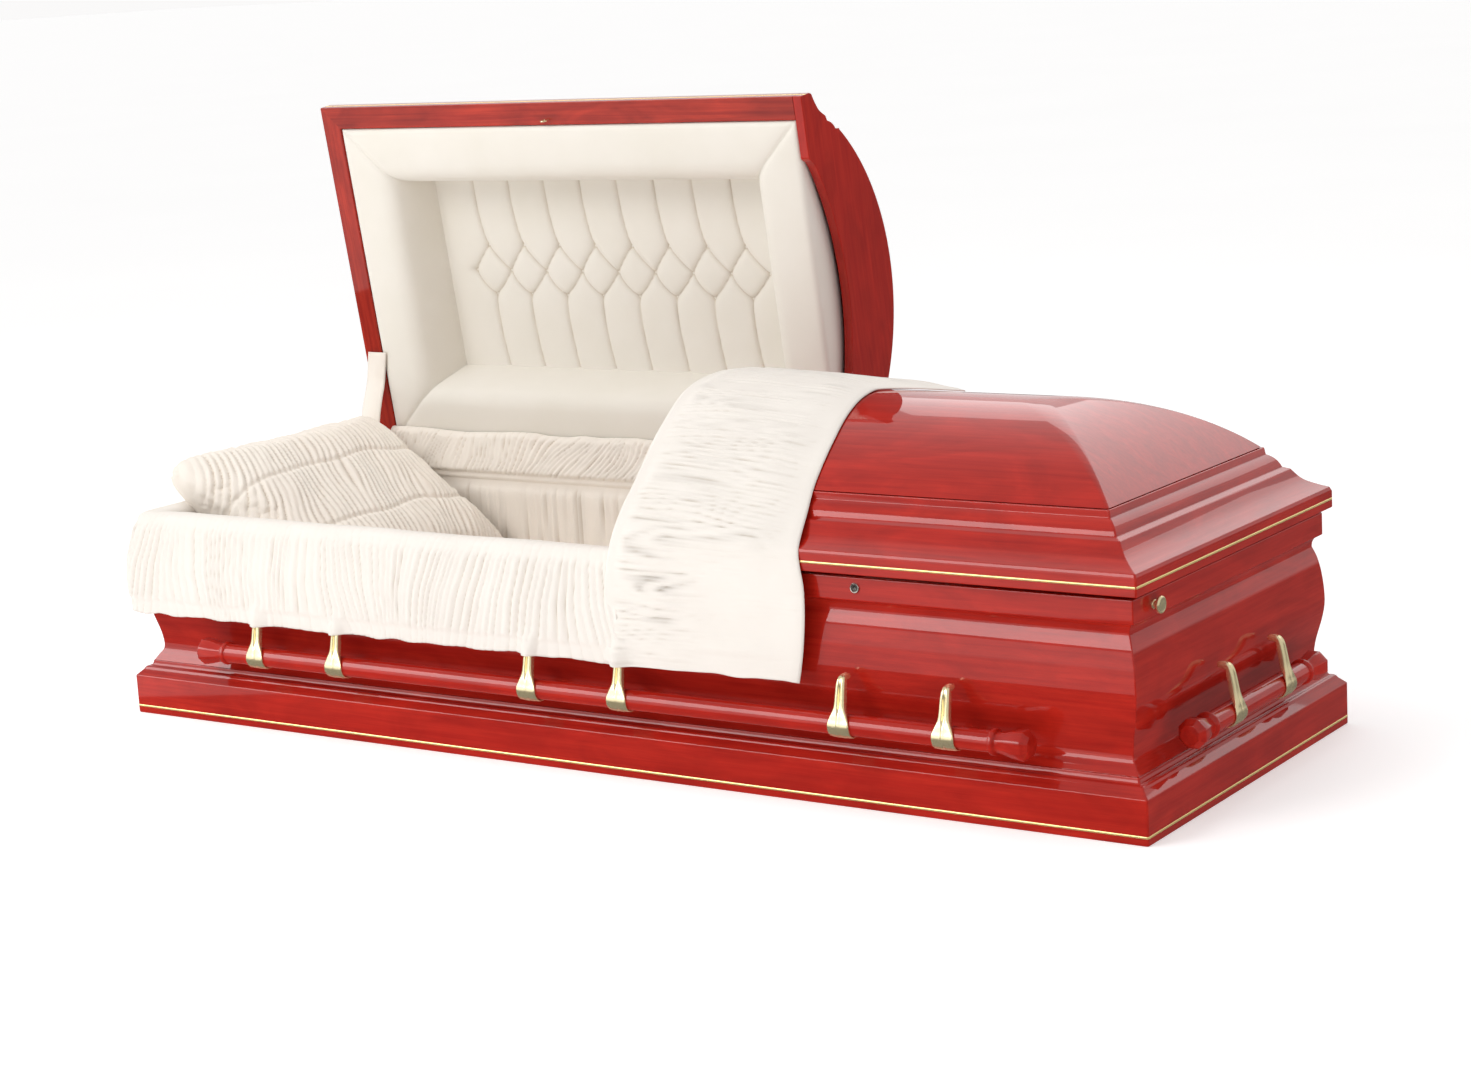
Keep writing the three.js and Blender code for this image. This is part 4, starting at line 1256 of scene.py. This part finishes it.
def border_side(face, back, start, end, fixed, inward, axis):
    """One padded side as rings of points; its mitres lie at forty-five degrees."""
    count = max(8, round((end - start) / BORDER_STATION))
    rings = []
    for share in np.linspace(0, 1, count):
        eased = share - 0.085 * math.sin(2 * math.pi * share)
        ring = []
        for number, (inset, height) in enumerate([*face, *back[1:-1]]):
            off = inset - BORDER_INSET
            place = start + off + (end - start - 2 * off) * eased
            if number < len(face):
                to_mitre = min(place - start - off, end - off - place)
                seam = math.exp(-to_mitre / SEAM_WIDE) * ease(off, 0, 12) * ease(off, 131, 118)
                height = height + SEAM_DEEP * seam
            if axis == "y" and fixed > 0 and number >= len(face) and off < 50:
                arch = 60 * max(0.0, 1 - (place / 250) ** 2)
                height = height + arch * ease(off, 50, 8)
            across = fixed + inward * off
            ring.append((place, across, height) if axis == "x" else (across, place, height))
        rings.append(ring)
    return rings


def border_solid():
    face, _ = evenly(BORDER_FACE, 6.0)
    back, _ = evenly(BORDER_BACK, 16.0)
    low_x, high_x, low_y, high_y = BORDER_BOX
    sides = [
        border_side(face, back, low_x, high_x, low_y, 1, "x"),
        border_side(face, back, low_y, high_y, high_x, -1, "y"),
        border_side(face, back, low_x, high_x, high_y, -1, "x")[::-1],
        border_side(face, back, low_y, high_y, low_x, 1, "y")[::-1],
    ]
    rings = [ring for side in sides for ring in side[:-1]]
    points = np.array(rings, float)
    wave = smooth_noise(points[..., 0] / 120, points[..., 1] / 120, 81)
    soft = ease(points[..., 2], 384, 376)
    points[..., 2] += 0.8 * wave * soft
    return points.reshape(-1, 3), ring_faces(len(rings), len(rings[0]), looped=True)


border_mesh = mesh_from("lid_border_velvet", *border_solid(), velvet)
border_mesh.transform(OPENING)
border = dressed_cloth(link_piece("lid_border_velvet", border_mesh), "head_lid")
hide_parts("lid_lining_border")

# %% [markdown]
# ### The tufted field
# Inside the border the velvet is drawn down to three rows of buttons. Between buttons it is
# pleated, and the pleats run on to the border's edge. The relief comes from distances: how far a
# point of the cloth is from the nearest pleat and from the nearest button. The same distances give
# painted shade that darkens the pleats and the dimples round the buttons.

# %% Tuft the field
FIELD_BOX = (-871.0, -44.0, -197.0, 197.0)
FIELD_STEP, FIELD_DEEP, FIELD_BACK, FIELD_GAP, TUFT_PITCH = 2.8, 7.0, 493.0, 3.5, 88.5
TUFT_ROWS = {"upper": (-764.0, -57.0, 8), "middle": (-806.0, -5.0, 9), "lower": (-764.0, 44.0, 8)}
TUFTS = {row: [(x + TUFT_PITCH * k, y) for k in range(count)] for row, (x, y, count) in TUFT_ROWS.items()}


def pleats():
    lines = []
    for k, (x, y) in enumerate(TUFTS["upper"]):
        lines.append([(x - 12, -200), *bow((x - 12, -200), (x - 14, y - 62), (x, y), 8)])
        for other in (TUFTS["middle"][k], TUFTS["middle"][k + 1]):
            lean = 6 if other[0] < x else -5
            pull = ((x + other[0]) / 2 - lean, (y + other[1]) / 2 + 6)
            lines.append([(x, y), *bow((x, y), pull, other, 6)])
    for k, (x, y) in enumerate(TUFTS["lower"]):
        lines.append([(x, y), *bow((x, y), (x - 4, y + 70), (x + 8, 200), 8)])
        for other in (TUFTS["middle"][k], TUFTS["middle"][k + 1]):
            pull = ((x + other[0]) / 2 - (5 if other[0] < x else -5), (y + other[1]) / 2 + 5)
            lines.append([(x, y), *bow((x, y), pull, other, 6)])
    return lines


def distance_to(points, a, b):
    a, b = np.array(a), np.array(b)
    span = b - a
    share = np.clip(((points - a) @ span) / (span @ span), 0, 1)
    return np.linalg.norm(points - a - share[..., None] * span, axis=-1)


def field_grid():
    low_x, high_x, low_y, high_y = FIELD_BOX
    xs = np.linspace(low_x, high_x, round((high_x - low_x) / FIELD_STEP))
    ys = np.linspace(low_y, high_y, round((high_y - low_y) / FIELD_STEP))
    plan = np.stack(np.meshgrid(xs, ys), axis=-1)
    to_pleat = np.full(plan.shape[:2], 1e3)
    for line in pleats():
        for a, b in zip(line, line[1:]):
            to_pleat = np.minimum(to_pleat, distance_to(plan, a, b))
    to_button = np.full(plan.shape[:2], 1e3)
    for row in TUFTS.values():
        for place in row:
            to_button = np.minimum(to_button, np.linalg.norm(plan - np.array(place), axis=-1))
    relief = FIELD_DEEP * (1 - np.exp(-to_pleat / 9)) - 2.4 * np.exp(-to_pleat / 1.8)
    relief -= 3.5 * np.exp(-((to_button / 9) ** 2)) + 1.5 * np.exp(-((to_button / 22) ** 2))
    relief += 0.5 * smooth_noise(plan[..., 0] / 26, plan[..., 1] / 34, 91)
    # Painted shade: the pleats and the dimples round the buttons are darkened in the colour.
    painted_crease_shade = 0.8 * np.exp(-to_pleat / 1.7) + 0.5 * np.exp(-((to_button / 5) ** 2))
    return np.dstack([plan, FIELD_BACK - FIELD_GAP - relief]), painted_crease_shade


field = cloth_piece("lid_field_velvet", field_grid(), velvet, "head_lid", 2.0, opened=True)
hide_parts("lid_tufted_panel")

# %% [markdown]
# The buttons are covered in the same velvet. They are one small dome set on many points, which is
# a job for instances in Geometry Nodes: the points come in as a mesh without faces.

# %% Set the buttons
BUTTON_RADIUS, BUTTON_DIP, BUTTON_SINK = 3.2, 7.0, 1.5


def button_tree():
    tree = bpy.data.node_groups.new("covered buttons", "GeometryNodeTree")
    tree.interface.new_socket("Places", in_out="INPUT", socket_type="NodeSocketGeometry")
    radius = tree.interface.new_socket("Button radius", in_out="INPUT", socket_type="NodeSocketFloat")
    radius.default_value = 0.003
    tree.interface.new_socket("Geometry", in_out="OUTPUT", socket_type="NodeSocketGeometry")
    source = add_node(tree, "NodeGroupInput")
    ball_inputs = {"Segments": 12, "Rings": 8, "Radius": source.outputs["Button radius"]}
    ball = add_node(tree, "GeometryNodeMeshUVSphere", ball_inputs)
    squash = {"Geometry": ball.outputs["Mesh"], "Scale": (1, 1, 0.55)}
    squeeze = add_node(tree, "GeometryNodeTransform", squash)
    points = add_node(tree, "GeometryNodeMeshToPoints", {"Mesh": source.outputs["Places"]})
    seats = {"Points": points.outputs["Points"], "Instance": squeeze.outputs["Geometry"]}
    set_out = add_node(tree, "GeometryNodeInstanceOnPoints", seats)
    dress_and_end(tree, set_out.outputs["Instances"], velvet)
    return tree


button_maker = button_tree()
button_mesh = bpy.data.meshes.new("lid_buttons")
button_height = FIELD_BACK - FIELD_GAP + BUTTON_DIP - BUTTON_SINK
button_places = [(x, y, button_height) for row in TUFTS.values() for x, y in row]
button_mesh.from_pydata((np.array(button_places) * MM).tolist(), [], [])
buttons = link_piece("lid_buttons", button_mesh)
setting = buttons.modifiers.new("setting", "NODES")
setting.node_group = button_maker
setting[socket_named(button_maker, "Button radius")] = BUTTON_RADIUS * MM
made_plain(buttons)
buttons.data.transform(OPENING)
shade_smooth(buttons)
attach(buttons, "head_lid")
print("buttons:", len(button_places))

# %% [markdown]
# ## Lining of the box
# The walls inside are padded and shirred. A closed roll of cloth is carried round the interior:
# flat against the walls, rounded over at the rail, with upright gathers below a stitched band.

# %% Line the walls
WALL_INNER, WALL_CORNER, WALL_STEP, WALL_ROW = 69.5, 18.0, 5.0, 9.0
WALL_SECTION = [(66, 18.6), (62, 18.8), (61.2, 24), (61.2, 180), (61.2, 350), (62, 360), (64.5, 364.5),
                (67, 364.5), (69.5, 361), (71, 355), (70, 349), (70.5, 342), (70, 334), (69.5, 300),
                (69.5, 180), (69.5, 30), (69, 20)]


def room_plan(inset, step):
    """Plan points round the interior at an inset, with rounded corners."""
    radius = WALL_CORNER + (WALL_INNER - inset)
    x, y = HALF_LENGTH - inset - radius, HALF_WIDTH - inset - radius
    long, short = round(2 * x / step), round(2 * y / step)
    points = []
    runs = [((0, 1), short), ((-1, 0), long), ((0, -1), short), ((1, 0), long)]
    for (centre, start), (run, count) in zip(four_corners(x, y), runs):
        points += swing(centre, radius, start, start + 90, 6)
        last, reach = points[-1], 2 * (y if run[1] else x)
        shares = np.linspace(0, 1, count)[1:-1]
        points += [(last[0] + run[0] * reach * s, last[1] + run[1] * reach * s) for s in shares]
    return points


def wall_grid():
    section, _ = evenly(WALL_SECTION, WALL_ROW)
    plans = [room_plan(inset, WALL_STEP) for inset, _ in section]
    grid = np.array([[(x, y, height) for x, y in plan] for plan, (_, height) in zip(plans, section)])
    steps = np.linalg.norm(np.diff(grid[-1, :, :2], axis=0), axis=1)
    run = np.concatenate([[0], np.cumsum(steps)])[None, :] + 0 * grid[..., 2]
    height = grid[..., 2]
    inner = (section[:, 0] > 66.5)[:, None]
    folds = gathers(run, height, 12, 300, 101)
    strength = inner * (ease(height, 336, 318) + 0.35 * ease(height, 350, 358)) * ease(height, 19, 40)
    relief = 7.6 * folds * strength + 1.2 * inner * ease(height, 334, 338) * ease(height, 349, 345)
    middle = grid[..., :2] * np.array((HALF_WIDTH / HALF_LENGTH, 1.0))
    inward = -np.sign(grid[..., :2]) * (np.abs(middle) >= np.abs(middle).max(axis=2, keepdims=True) - 1e-9)
    grid[..., :2] += inward * relief[..., None]
    # Painted shade for the creases of the gathers.
    painted_crease_shade = crease_shade_amount(folds, strength)
    return np.concatenate([grid, grid[:1]], axis=0), np.concatenate([painted_crease_shade, painted_crease_shade[:1]], axis=0)


lining = cloth_piece("body_lining_crepe", wall_grid(), crepe, "casket", closed=True)
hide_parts("body_lining")

# %% [markdown]
# Behind, the lining goes on upwards out of the box and is sewn to the lid, so that it hides the
# hinge. Its foot lies in the box and its top edge at the open lid; it is attached to neither body.

# %% Raise the back lining
BACK_START, BACK_END, BACK_ROW, BACK_COLUMN = -990.0, 78.0, 3.6, 3.4
BACK_SECTION = [(312, 338), (309, 346), (309.5, 353), (311, 364), (316, 382), (322, 402), (327, 418),
                (330, 428), (334, 432), (339, 431), (341, 426)]


def back_grid():
    section, _ = evenly(BACK_SECTION, BACK_ROW)
    xs = np.linspace(BACK_START, BACK_END, round((BACK_END - BACK_START) / BACK_COLUMN))
    grid = np.array([[(x, y, z) for x in xs] for y, z in section], float)
    x, height = grid[..., 0], grid[..., 2].copy()
    lean = 0.35 + 0.75 * ease(x, -800, -250) + 0.35 * smooth_noise(x / 170, 0 * x, 111)
    folds = gathers(x - lean * (height - 350), height, 12, 55, 112)
    shown = (np.arange(len(section)) < len(section) - 3)[:, None]
    strength = ease(height, 351, 360) * (1 - 0.55 * ease(height, 422, 430)) * (0.35 + 0.65 * shown)
    relief = 6.4 * folds * strength
    relief += 1.5 * ease(height, 339, 343) * ease(height, 352, 348)
    grid[..., 1] -= relief
    wavy = 3.2 * smooth_noise(x / 42, 0 * x, 115) + 2.0 * smooth_noise(x / 130, 0 * x, 116)
    grid[..., 2] += wavy * ease(height, 400, 430)
    # The creases also get painted shade in the colour.
    return grid, crease_shade_amount(folds, strength)


back_lining = cloth_piece("back_lining_crepe", back_grid(), crepe, None, 1.2)
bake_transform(back_lining)

# %% [markdown]
# A flat strap of the same cloth runs from the open lid's corner down into the box behind the
# pillow, and keeps the lid from falling back. It too is attached to neither body.

# %% Hang the lid's strap
LID_STRAP_WIDE = 48.0
LID_STRAP_PATH = [(-1003, 316, 588), (-1017, 322, 530), (-1013, 302, 490), (-1008, 284, 450),
                  (-985, 240, 372)]


def strap_grid():
    middle, run = evenly(LID_STRAP_PATH, 5.0)
    share = np.linspace(-0.5, 0.5, 11)[None, :]
    grid = middle[:, None, :] + share[..., None] * np.array((LID_STRAP_WIDE, 0, 0))
    grid[..., 1] -= 5.0 * (1 - (2 * share) ** 2) * np.sin(np.pi * run / run[-1])[:, None]
    grid[..., 1] += 1.5 * smooth_noise(run[:, None] / 40, share * 3, 121)
    return (grid, 0 * grid[..., 0]), run[-1]


strap_cloth, strap_long = strap_grid()
lid_strap = cloth_piece("lid_strap_crepe", strap_cloth, crepe, None, 1.6)
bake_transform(lid_strap)
print(f"strap {strap_long:.0f} mm long")

# %% [markdown]
# ## Mattress and pillow
# The mattress is a plain padded block that fills the bed. It is lofted from rounded rectangles
# that draw in towards the top, with a slow swell over the whole.

# %% Make up the mattress
BED_INSET, BED_MIDDLE, BED_LOW, BED_HIGH = 77.5, 300.0, 18.5, 178.0


def bed_ring(inset, height):
    radius = 30.0
    x, y = HALF_LENGTH - inset - radius, HALF_WIDTH - inset - radius
    ring = []
    for centre, start in four_corners(x, y):
        ring += [(*p, height) for p in swing(centre, radius, start, start + 90, 8)]
    return ring


bed_section = soften([(BED_MIDDLE, BED_LOW), (BED_INSET, BED_LOW), (BED_INSET, BED_HIGH - 6),
                      (BED_INSET + 14, BED_HIGH), (BED_MIDDLE, BED_HIGH + 4)], 14, steps=5)
bed_rings = [bed_ring(max(inset, BED_INSET), height) for inset, height in bed_section]
bed_points = [point for ring in bed_rings for point in ring]
bed_faces = tube_faces(len(bed_rings), len(bed_rings[0]))
mattress = link_piece("mattress_crepe", mesh_from("mattress_crepe", bed_points, bed_faces, crepe))
dressed_cloth(mattress, "casket")
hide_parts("mattress")

# %% [markdown]
# The pillow leans on the head end and slopes down to the mattress. It starts as a flat lens,
# pinched at the foot and blunter at the head, is remeshed finely and blown up a little by the
# cloth simulation, which gives it its taut swell. The gathers come after that. They run down
# the slope in three tiers between two stitched lines, and each point of the upper side is raised
# along its normal by the gathers at its own place on the slope.

# %% Fill the pillow
PILLOW_WIDE, PILLOW_LONG, PILLOW_THICK = 566.0, 450.0, 140.0
PILLOW_FOOT = np.array((-615.0, 2.0, 238.0))
PILLOW_ALONG = np.array((-0.816, 0, 0.578))
PILLOW_UP = np.array((0.578, 0, 0.816))
PILLOW_VOXEL, PILLOW_CAP, PILLOW_BLUNT = 6.0, 14.0, 0.6
PILLOW_PRESSURE, SWELL_FRAMES, STITCH_LINES = 4.0, 18, (1.02, 2.05)


def pillow_frame(points):
    """Places on the pillow: across it and up its slope."""
    off = np.asarray(points) - PILLOW_FOOT
    return off[..., 1], off @ PILLOW_ALONG


def pillow_start():
    steps = 40
    rings = []
    for b in np.linspace(-1, 1, steps):
        b = math.sin(b * math.pi / 2)
        long_share = max(0.0, 1 - abs(b) ** 4.5) ** 0.5
        long_share += PILLOW_BLUNT * max(0.0, b) * (1 - long_share)
        half = PILLOW_WIDE / 2 * (1 - 0.045 * math.cos(b * math.pi / 2) ** 2)
        ring = []
        for turn in np.linspace(0, 2 * math.pi, 2 * steps, endpoint=False):
            a = math.cos(turn)
            up = math.sin(turn)
            across_share = abs(up) ** 0.6
            c = math.copysign(across_share, up) * long_share * PILLOW_THICK / 2
            along = (b * (1 - 0.04 * (1 - a * a)) + 1) / 2 * PILLOW_LONG
            centre = PILLOW_FOOT + PILLOW_ALONG * along - PILLOW_UP * PILLOW_THICK / 2
            ring.append(centre + np.array((0, a * half, 0)) + PILLOW_UP * c)
        rings.append(ring)
    return [point for ring in rings for point in ring], tube_faces(steps, 2 * steps)


def swell(piece, pressure, frames, cap):
    """Blows a closed mesh up with the cloth simulation, each point by no more than cap."""
    before = vertex_places(piece.data).copy()
    cloth = piece.modifiers.new("swell", "CLOTH")
    cloth.settings.use_pressure = True
    cloth.settings.uniform_pressure_force = pressure
    cloth.settings.effector_weights.gravity = 0
    cloth.settings.tension_stiffness = 18
    cloth.point_cache.frame_end = frames
    for frame_number in range(1, frames + 1):
        bpy.context.scene.frame_set(frame_number)
    made_plain(piece)
    bpy.context.scene.frame_set(1)
    moved = vertex_places(piece.data) - before
    size = np.linalg.norm(moved, axis=1, keepdims=True)
    moved *= np.minimum(1, cap * MM / np.maximum(size, 1e-9))
    piece.data.vertices.foreach_set("co", (before + moved).ravel())
    print(piece.name, "swelled by up to", round(float(np.minimum(size, cap * MM).max() / MM), 1), "mm")


def pillow_relief(points, normals):
    """How far each point is raised by the gathers, and how much painted shade it gets in a crease."""
    across, up_slope = pillow_frame(points / MM)
    tier = up_slope / PILLOW_LONG * 3
    bow_out = 26 * np.sin(np.pi * np.clip(up_slope / PILLOW_LONG, 0, 1)) * (across / 260)
    drawn = across - bow_out - 0.30 * (up_slope - 190)
    folds = gathers(drawn, up_slope, 13, 90, 131)
    stitched = np.ones_like(tier)
    for line in STITCH_LINES:
        wander = 0.05 * smooth_noise(across / 90, 0 * across, 140)
        stitched -= 0.6 * np.exp(-(((tier - line + wander) / 0.035) ** 2))
    facing = ease(normals @ PILLOW_UP, -0.25, 0.35)
    pull = sum(np.exp(-(((tier - line) / 0.16) ** 2)) for line in STITCH_LINES)
    return (7.0 * folds * stitched - pull) * facing, crease_shade_amount(folds, facing)


pillow = link_piece("pillow_crepe", mesh_from("pillow_crepe", *pillow_start(), crepe))
remesh = pillow.modifiers.new("even mesh", "REMESH")
remesh.mode = "VOXEL"
remesh.voxel_size = PILLOW_VOXEL * MM
made_plain(pillow)
pillow.data.materials.clear()
pillow.data.materials.append(crepe)
swell(pillow, PILLOW_PRESSURE, SWELL_FRAMES, PILLOW_CAP)
finer = pillow.modifiers.new("finer", "SUBSURF")
finer.levels = finer.render_levels = 1
made_plain(pillow)
normals = np.empty(len(pillow.data.vertices) * 3, np.float32)
pillow.data.vertex_normals.foreach_get("vector", normals)
normals = normals.reshape(-1, 3)
places = vertex_places(pillow.data)
relief, painted_crease_shade = pillow_relief(places, normals)
places = places + normals * relief[:, None] * MM
pillow.data.vertices.foreach_set("co", places.astype(np.float32).ravel())
# Painted shade for the pillow's creases, stored on its points.
crease_shade_layer = pillow.data.attributes.new("painted_crease_shade", "FLOAT", "POINT")
crease_shade_layer.data.foreach_set("value", np.clip(painted_crease_shade, 0, 1).astype(np.float32))
dressed_cloth(pillow, "casket")
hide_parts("pillow")
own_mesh(pillow)

# %% [markdown]
# ## Floor and light
# Lacquer shows what stands around it, so the set is built for its reflections. Upright faces
# mirror what lies below the horizon, and stay deep red because that is dark: the floor is left out
# of mirror rays. Faces that lean back mirror a tall soft panel in front, upright ones a weak low
# panel, and the crown mirrors one behind. The panels are seen only in reflections. The sky, the
# key light, the overhead light and the floor give the even light on the cloth.

# %% Light the set
SKY, BEHIND, BELOW = 0.60, 0.96, 0.14
DARK_FROM, PALE_FROM = -0.05, -0.03
scene = bpy.context.scene
scene.view_settings.view_transform = "Standard"
world = bpy.data.worlds.new("studio")
scene.world = world
world.use_nodes = True
sky_tree = world.node_tree
direction = add_node(sky_tree, "ShaderNodeTexCoord").outputs["Generated"]
behind = {0: direction, 1: (-0.57, 0.82, 0)}
backward = add_node(sky_tree, "ShaderNodeVectorMath", behind, operation="DOT_PRODUCT")
spread = {"From Min": 0.2, "From Max": 0.8, "To Min": SKY, "To Max": BEHIND}
pale = {"Value": backward.outputs["Value"], **spread}
pale_sky = add_node(sky_tree, "ShaderNodeMapRange", pale, interpolation_type="SMOOTHSTEP").outputs["Result"]
height = add_node(sky_tree, "ShaderNodeSeparateXYZ", {"Vector": direction}).outputs["Z"]
over = {"Value": height, "From Min": DARK_FROM, "From Max": PALE_FROM, "To Min": BELOW, "To Max": pale_sky}
strength = add_node(sky_tree, "ShaderNodeMapRange", over).outputs["Result"]
sky_tree.nodes["Background"].inputs["Color"].default_value = (1.0, 0.99, 0.985, 1)
sky_tree.links.new(strength, sky_tree.nodes["Background"].inputs["Strength"])

FLOOR_GLOW, FLOOR_HALF = 0.38, 120.0
floor_values = {"Roughness": 0.9, "Emission_Strength": FLOOR_GLOW}
floor_finish, floor_tree, floor_shader = new_finish("studio floor", **floor_values)
floor_shader.inputs["Emission Color"].default_value = (1, 1, 1, 1)
floor_place = add_node(floor_tree, "ShaderNodeTexCoord").outputs["Object"]
floor_tone = stretched_noise(floor_tree, floor_place, (0.6, 0.6, 0.6), detail=2)
floor_colour = colour_ramp(floor_tree, floor_tone, [(0.3, (0.86, 0.86, 0.86)), (0.7, (0.88, 0.88, 0.88))])
floor_tree.links.new(floor_colour, floor_shader.inputs["Base Color"])
floor_mesh = bpy.data.meshes.new("floor")
floor_corners = [(-FLOOR_HALF, -FLOOR_HALF, 0), (FLOOR_HALF, -FLOOR_HALF, 0),
                 (FLOOR_HALF, FLOOR_HALF, 0), (-FLOOR_HALF, FLOOR_HALF, 0)]
floor_mesh.from_pydata(floor_corners, [], [(0, 1, 2, 3)])
floor_mesh.materials.append(floor_finish)
floor = link_piece("floor", floor_mesh)
floor.visible_glossy = False
floor.visible_shadow = False


def soft_light(name, place, aim, wide, long, radiance, mirrored):
    """A rectangle of light: a mirrored one shows only in reflections, the others only light."""
    lamp = bpy.data.lights.new(name, "AREA")
    lamp.shape = "RECTANGLE"
    lamp.size, lamp.size_y = wide, long
    lamp.energy = radiance * math.pi * wide * long
    lamp_object = bpy.data.objects.new(name, lamp)
    toward = Vector(aim) - Vector(place)
    turn = toward.to_track_quat("-Z", "Y").to_matrix().to_4x4()
    lamp_object.matrix_world = Matrix.Translation(place) @ turn
    lamp_object.visible_camera = False
    lamp_object.visible_diffuse = not mirrored
    lamp_object.visible_glossy = mirrored
    scene.collection.objects.link(lamp_object)


soft_light("key light", (-1.6, -3.6, 3.4), (0, 0, 0.4), 2.2, 2.2, 5.4, mirrored=False)
soft_light("overhead light", (-0.4, -0.6, 4.2), (-0.4, 0, 0.4), 3.0, 2.0, 1.7, mirrored=False)
soft_light("tall front panel", (-3.4, -4.9, 3.2), (0, 0, 0.3), 7.5, 3.6, 5.0, mirrored=True)
soft_light("low front panel", (-3.4, -4.9, 0.0), (0, 0, 0.1), 7.5, 2.4, 0.9, mirrored=True)
soft_light("back panel", (0.0, 5.0, 3.6), (0.4, 0, 0.4), 6.0, 2.4, 1.05, mirrored=True)
print("lights placed")
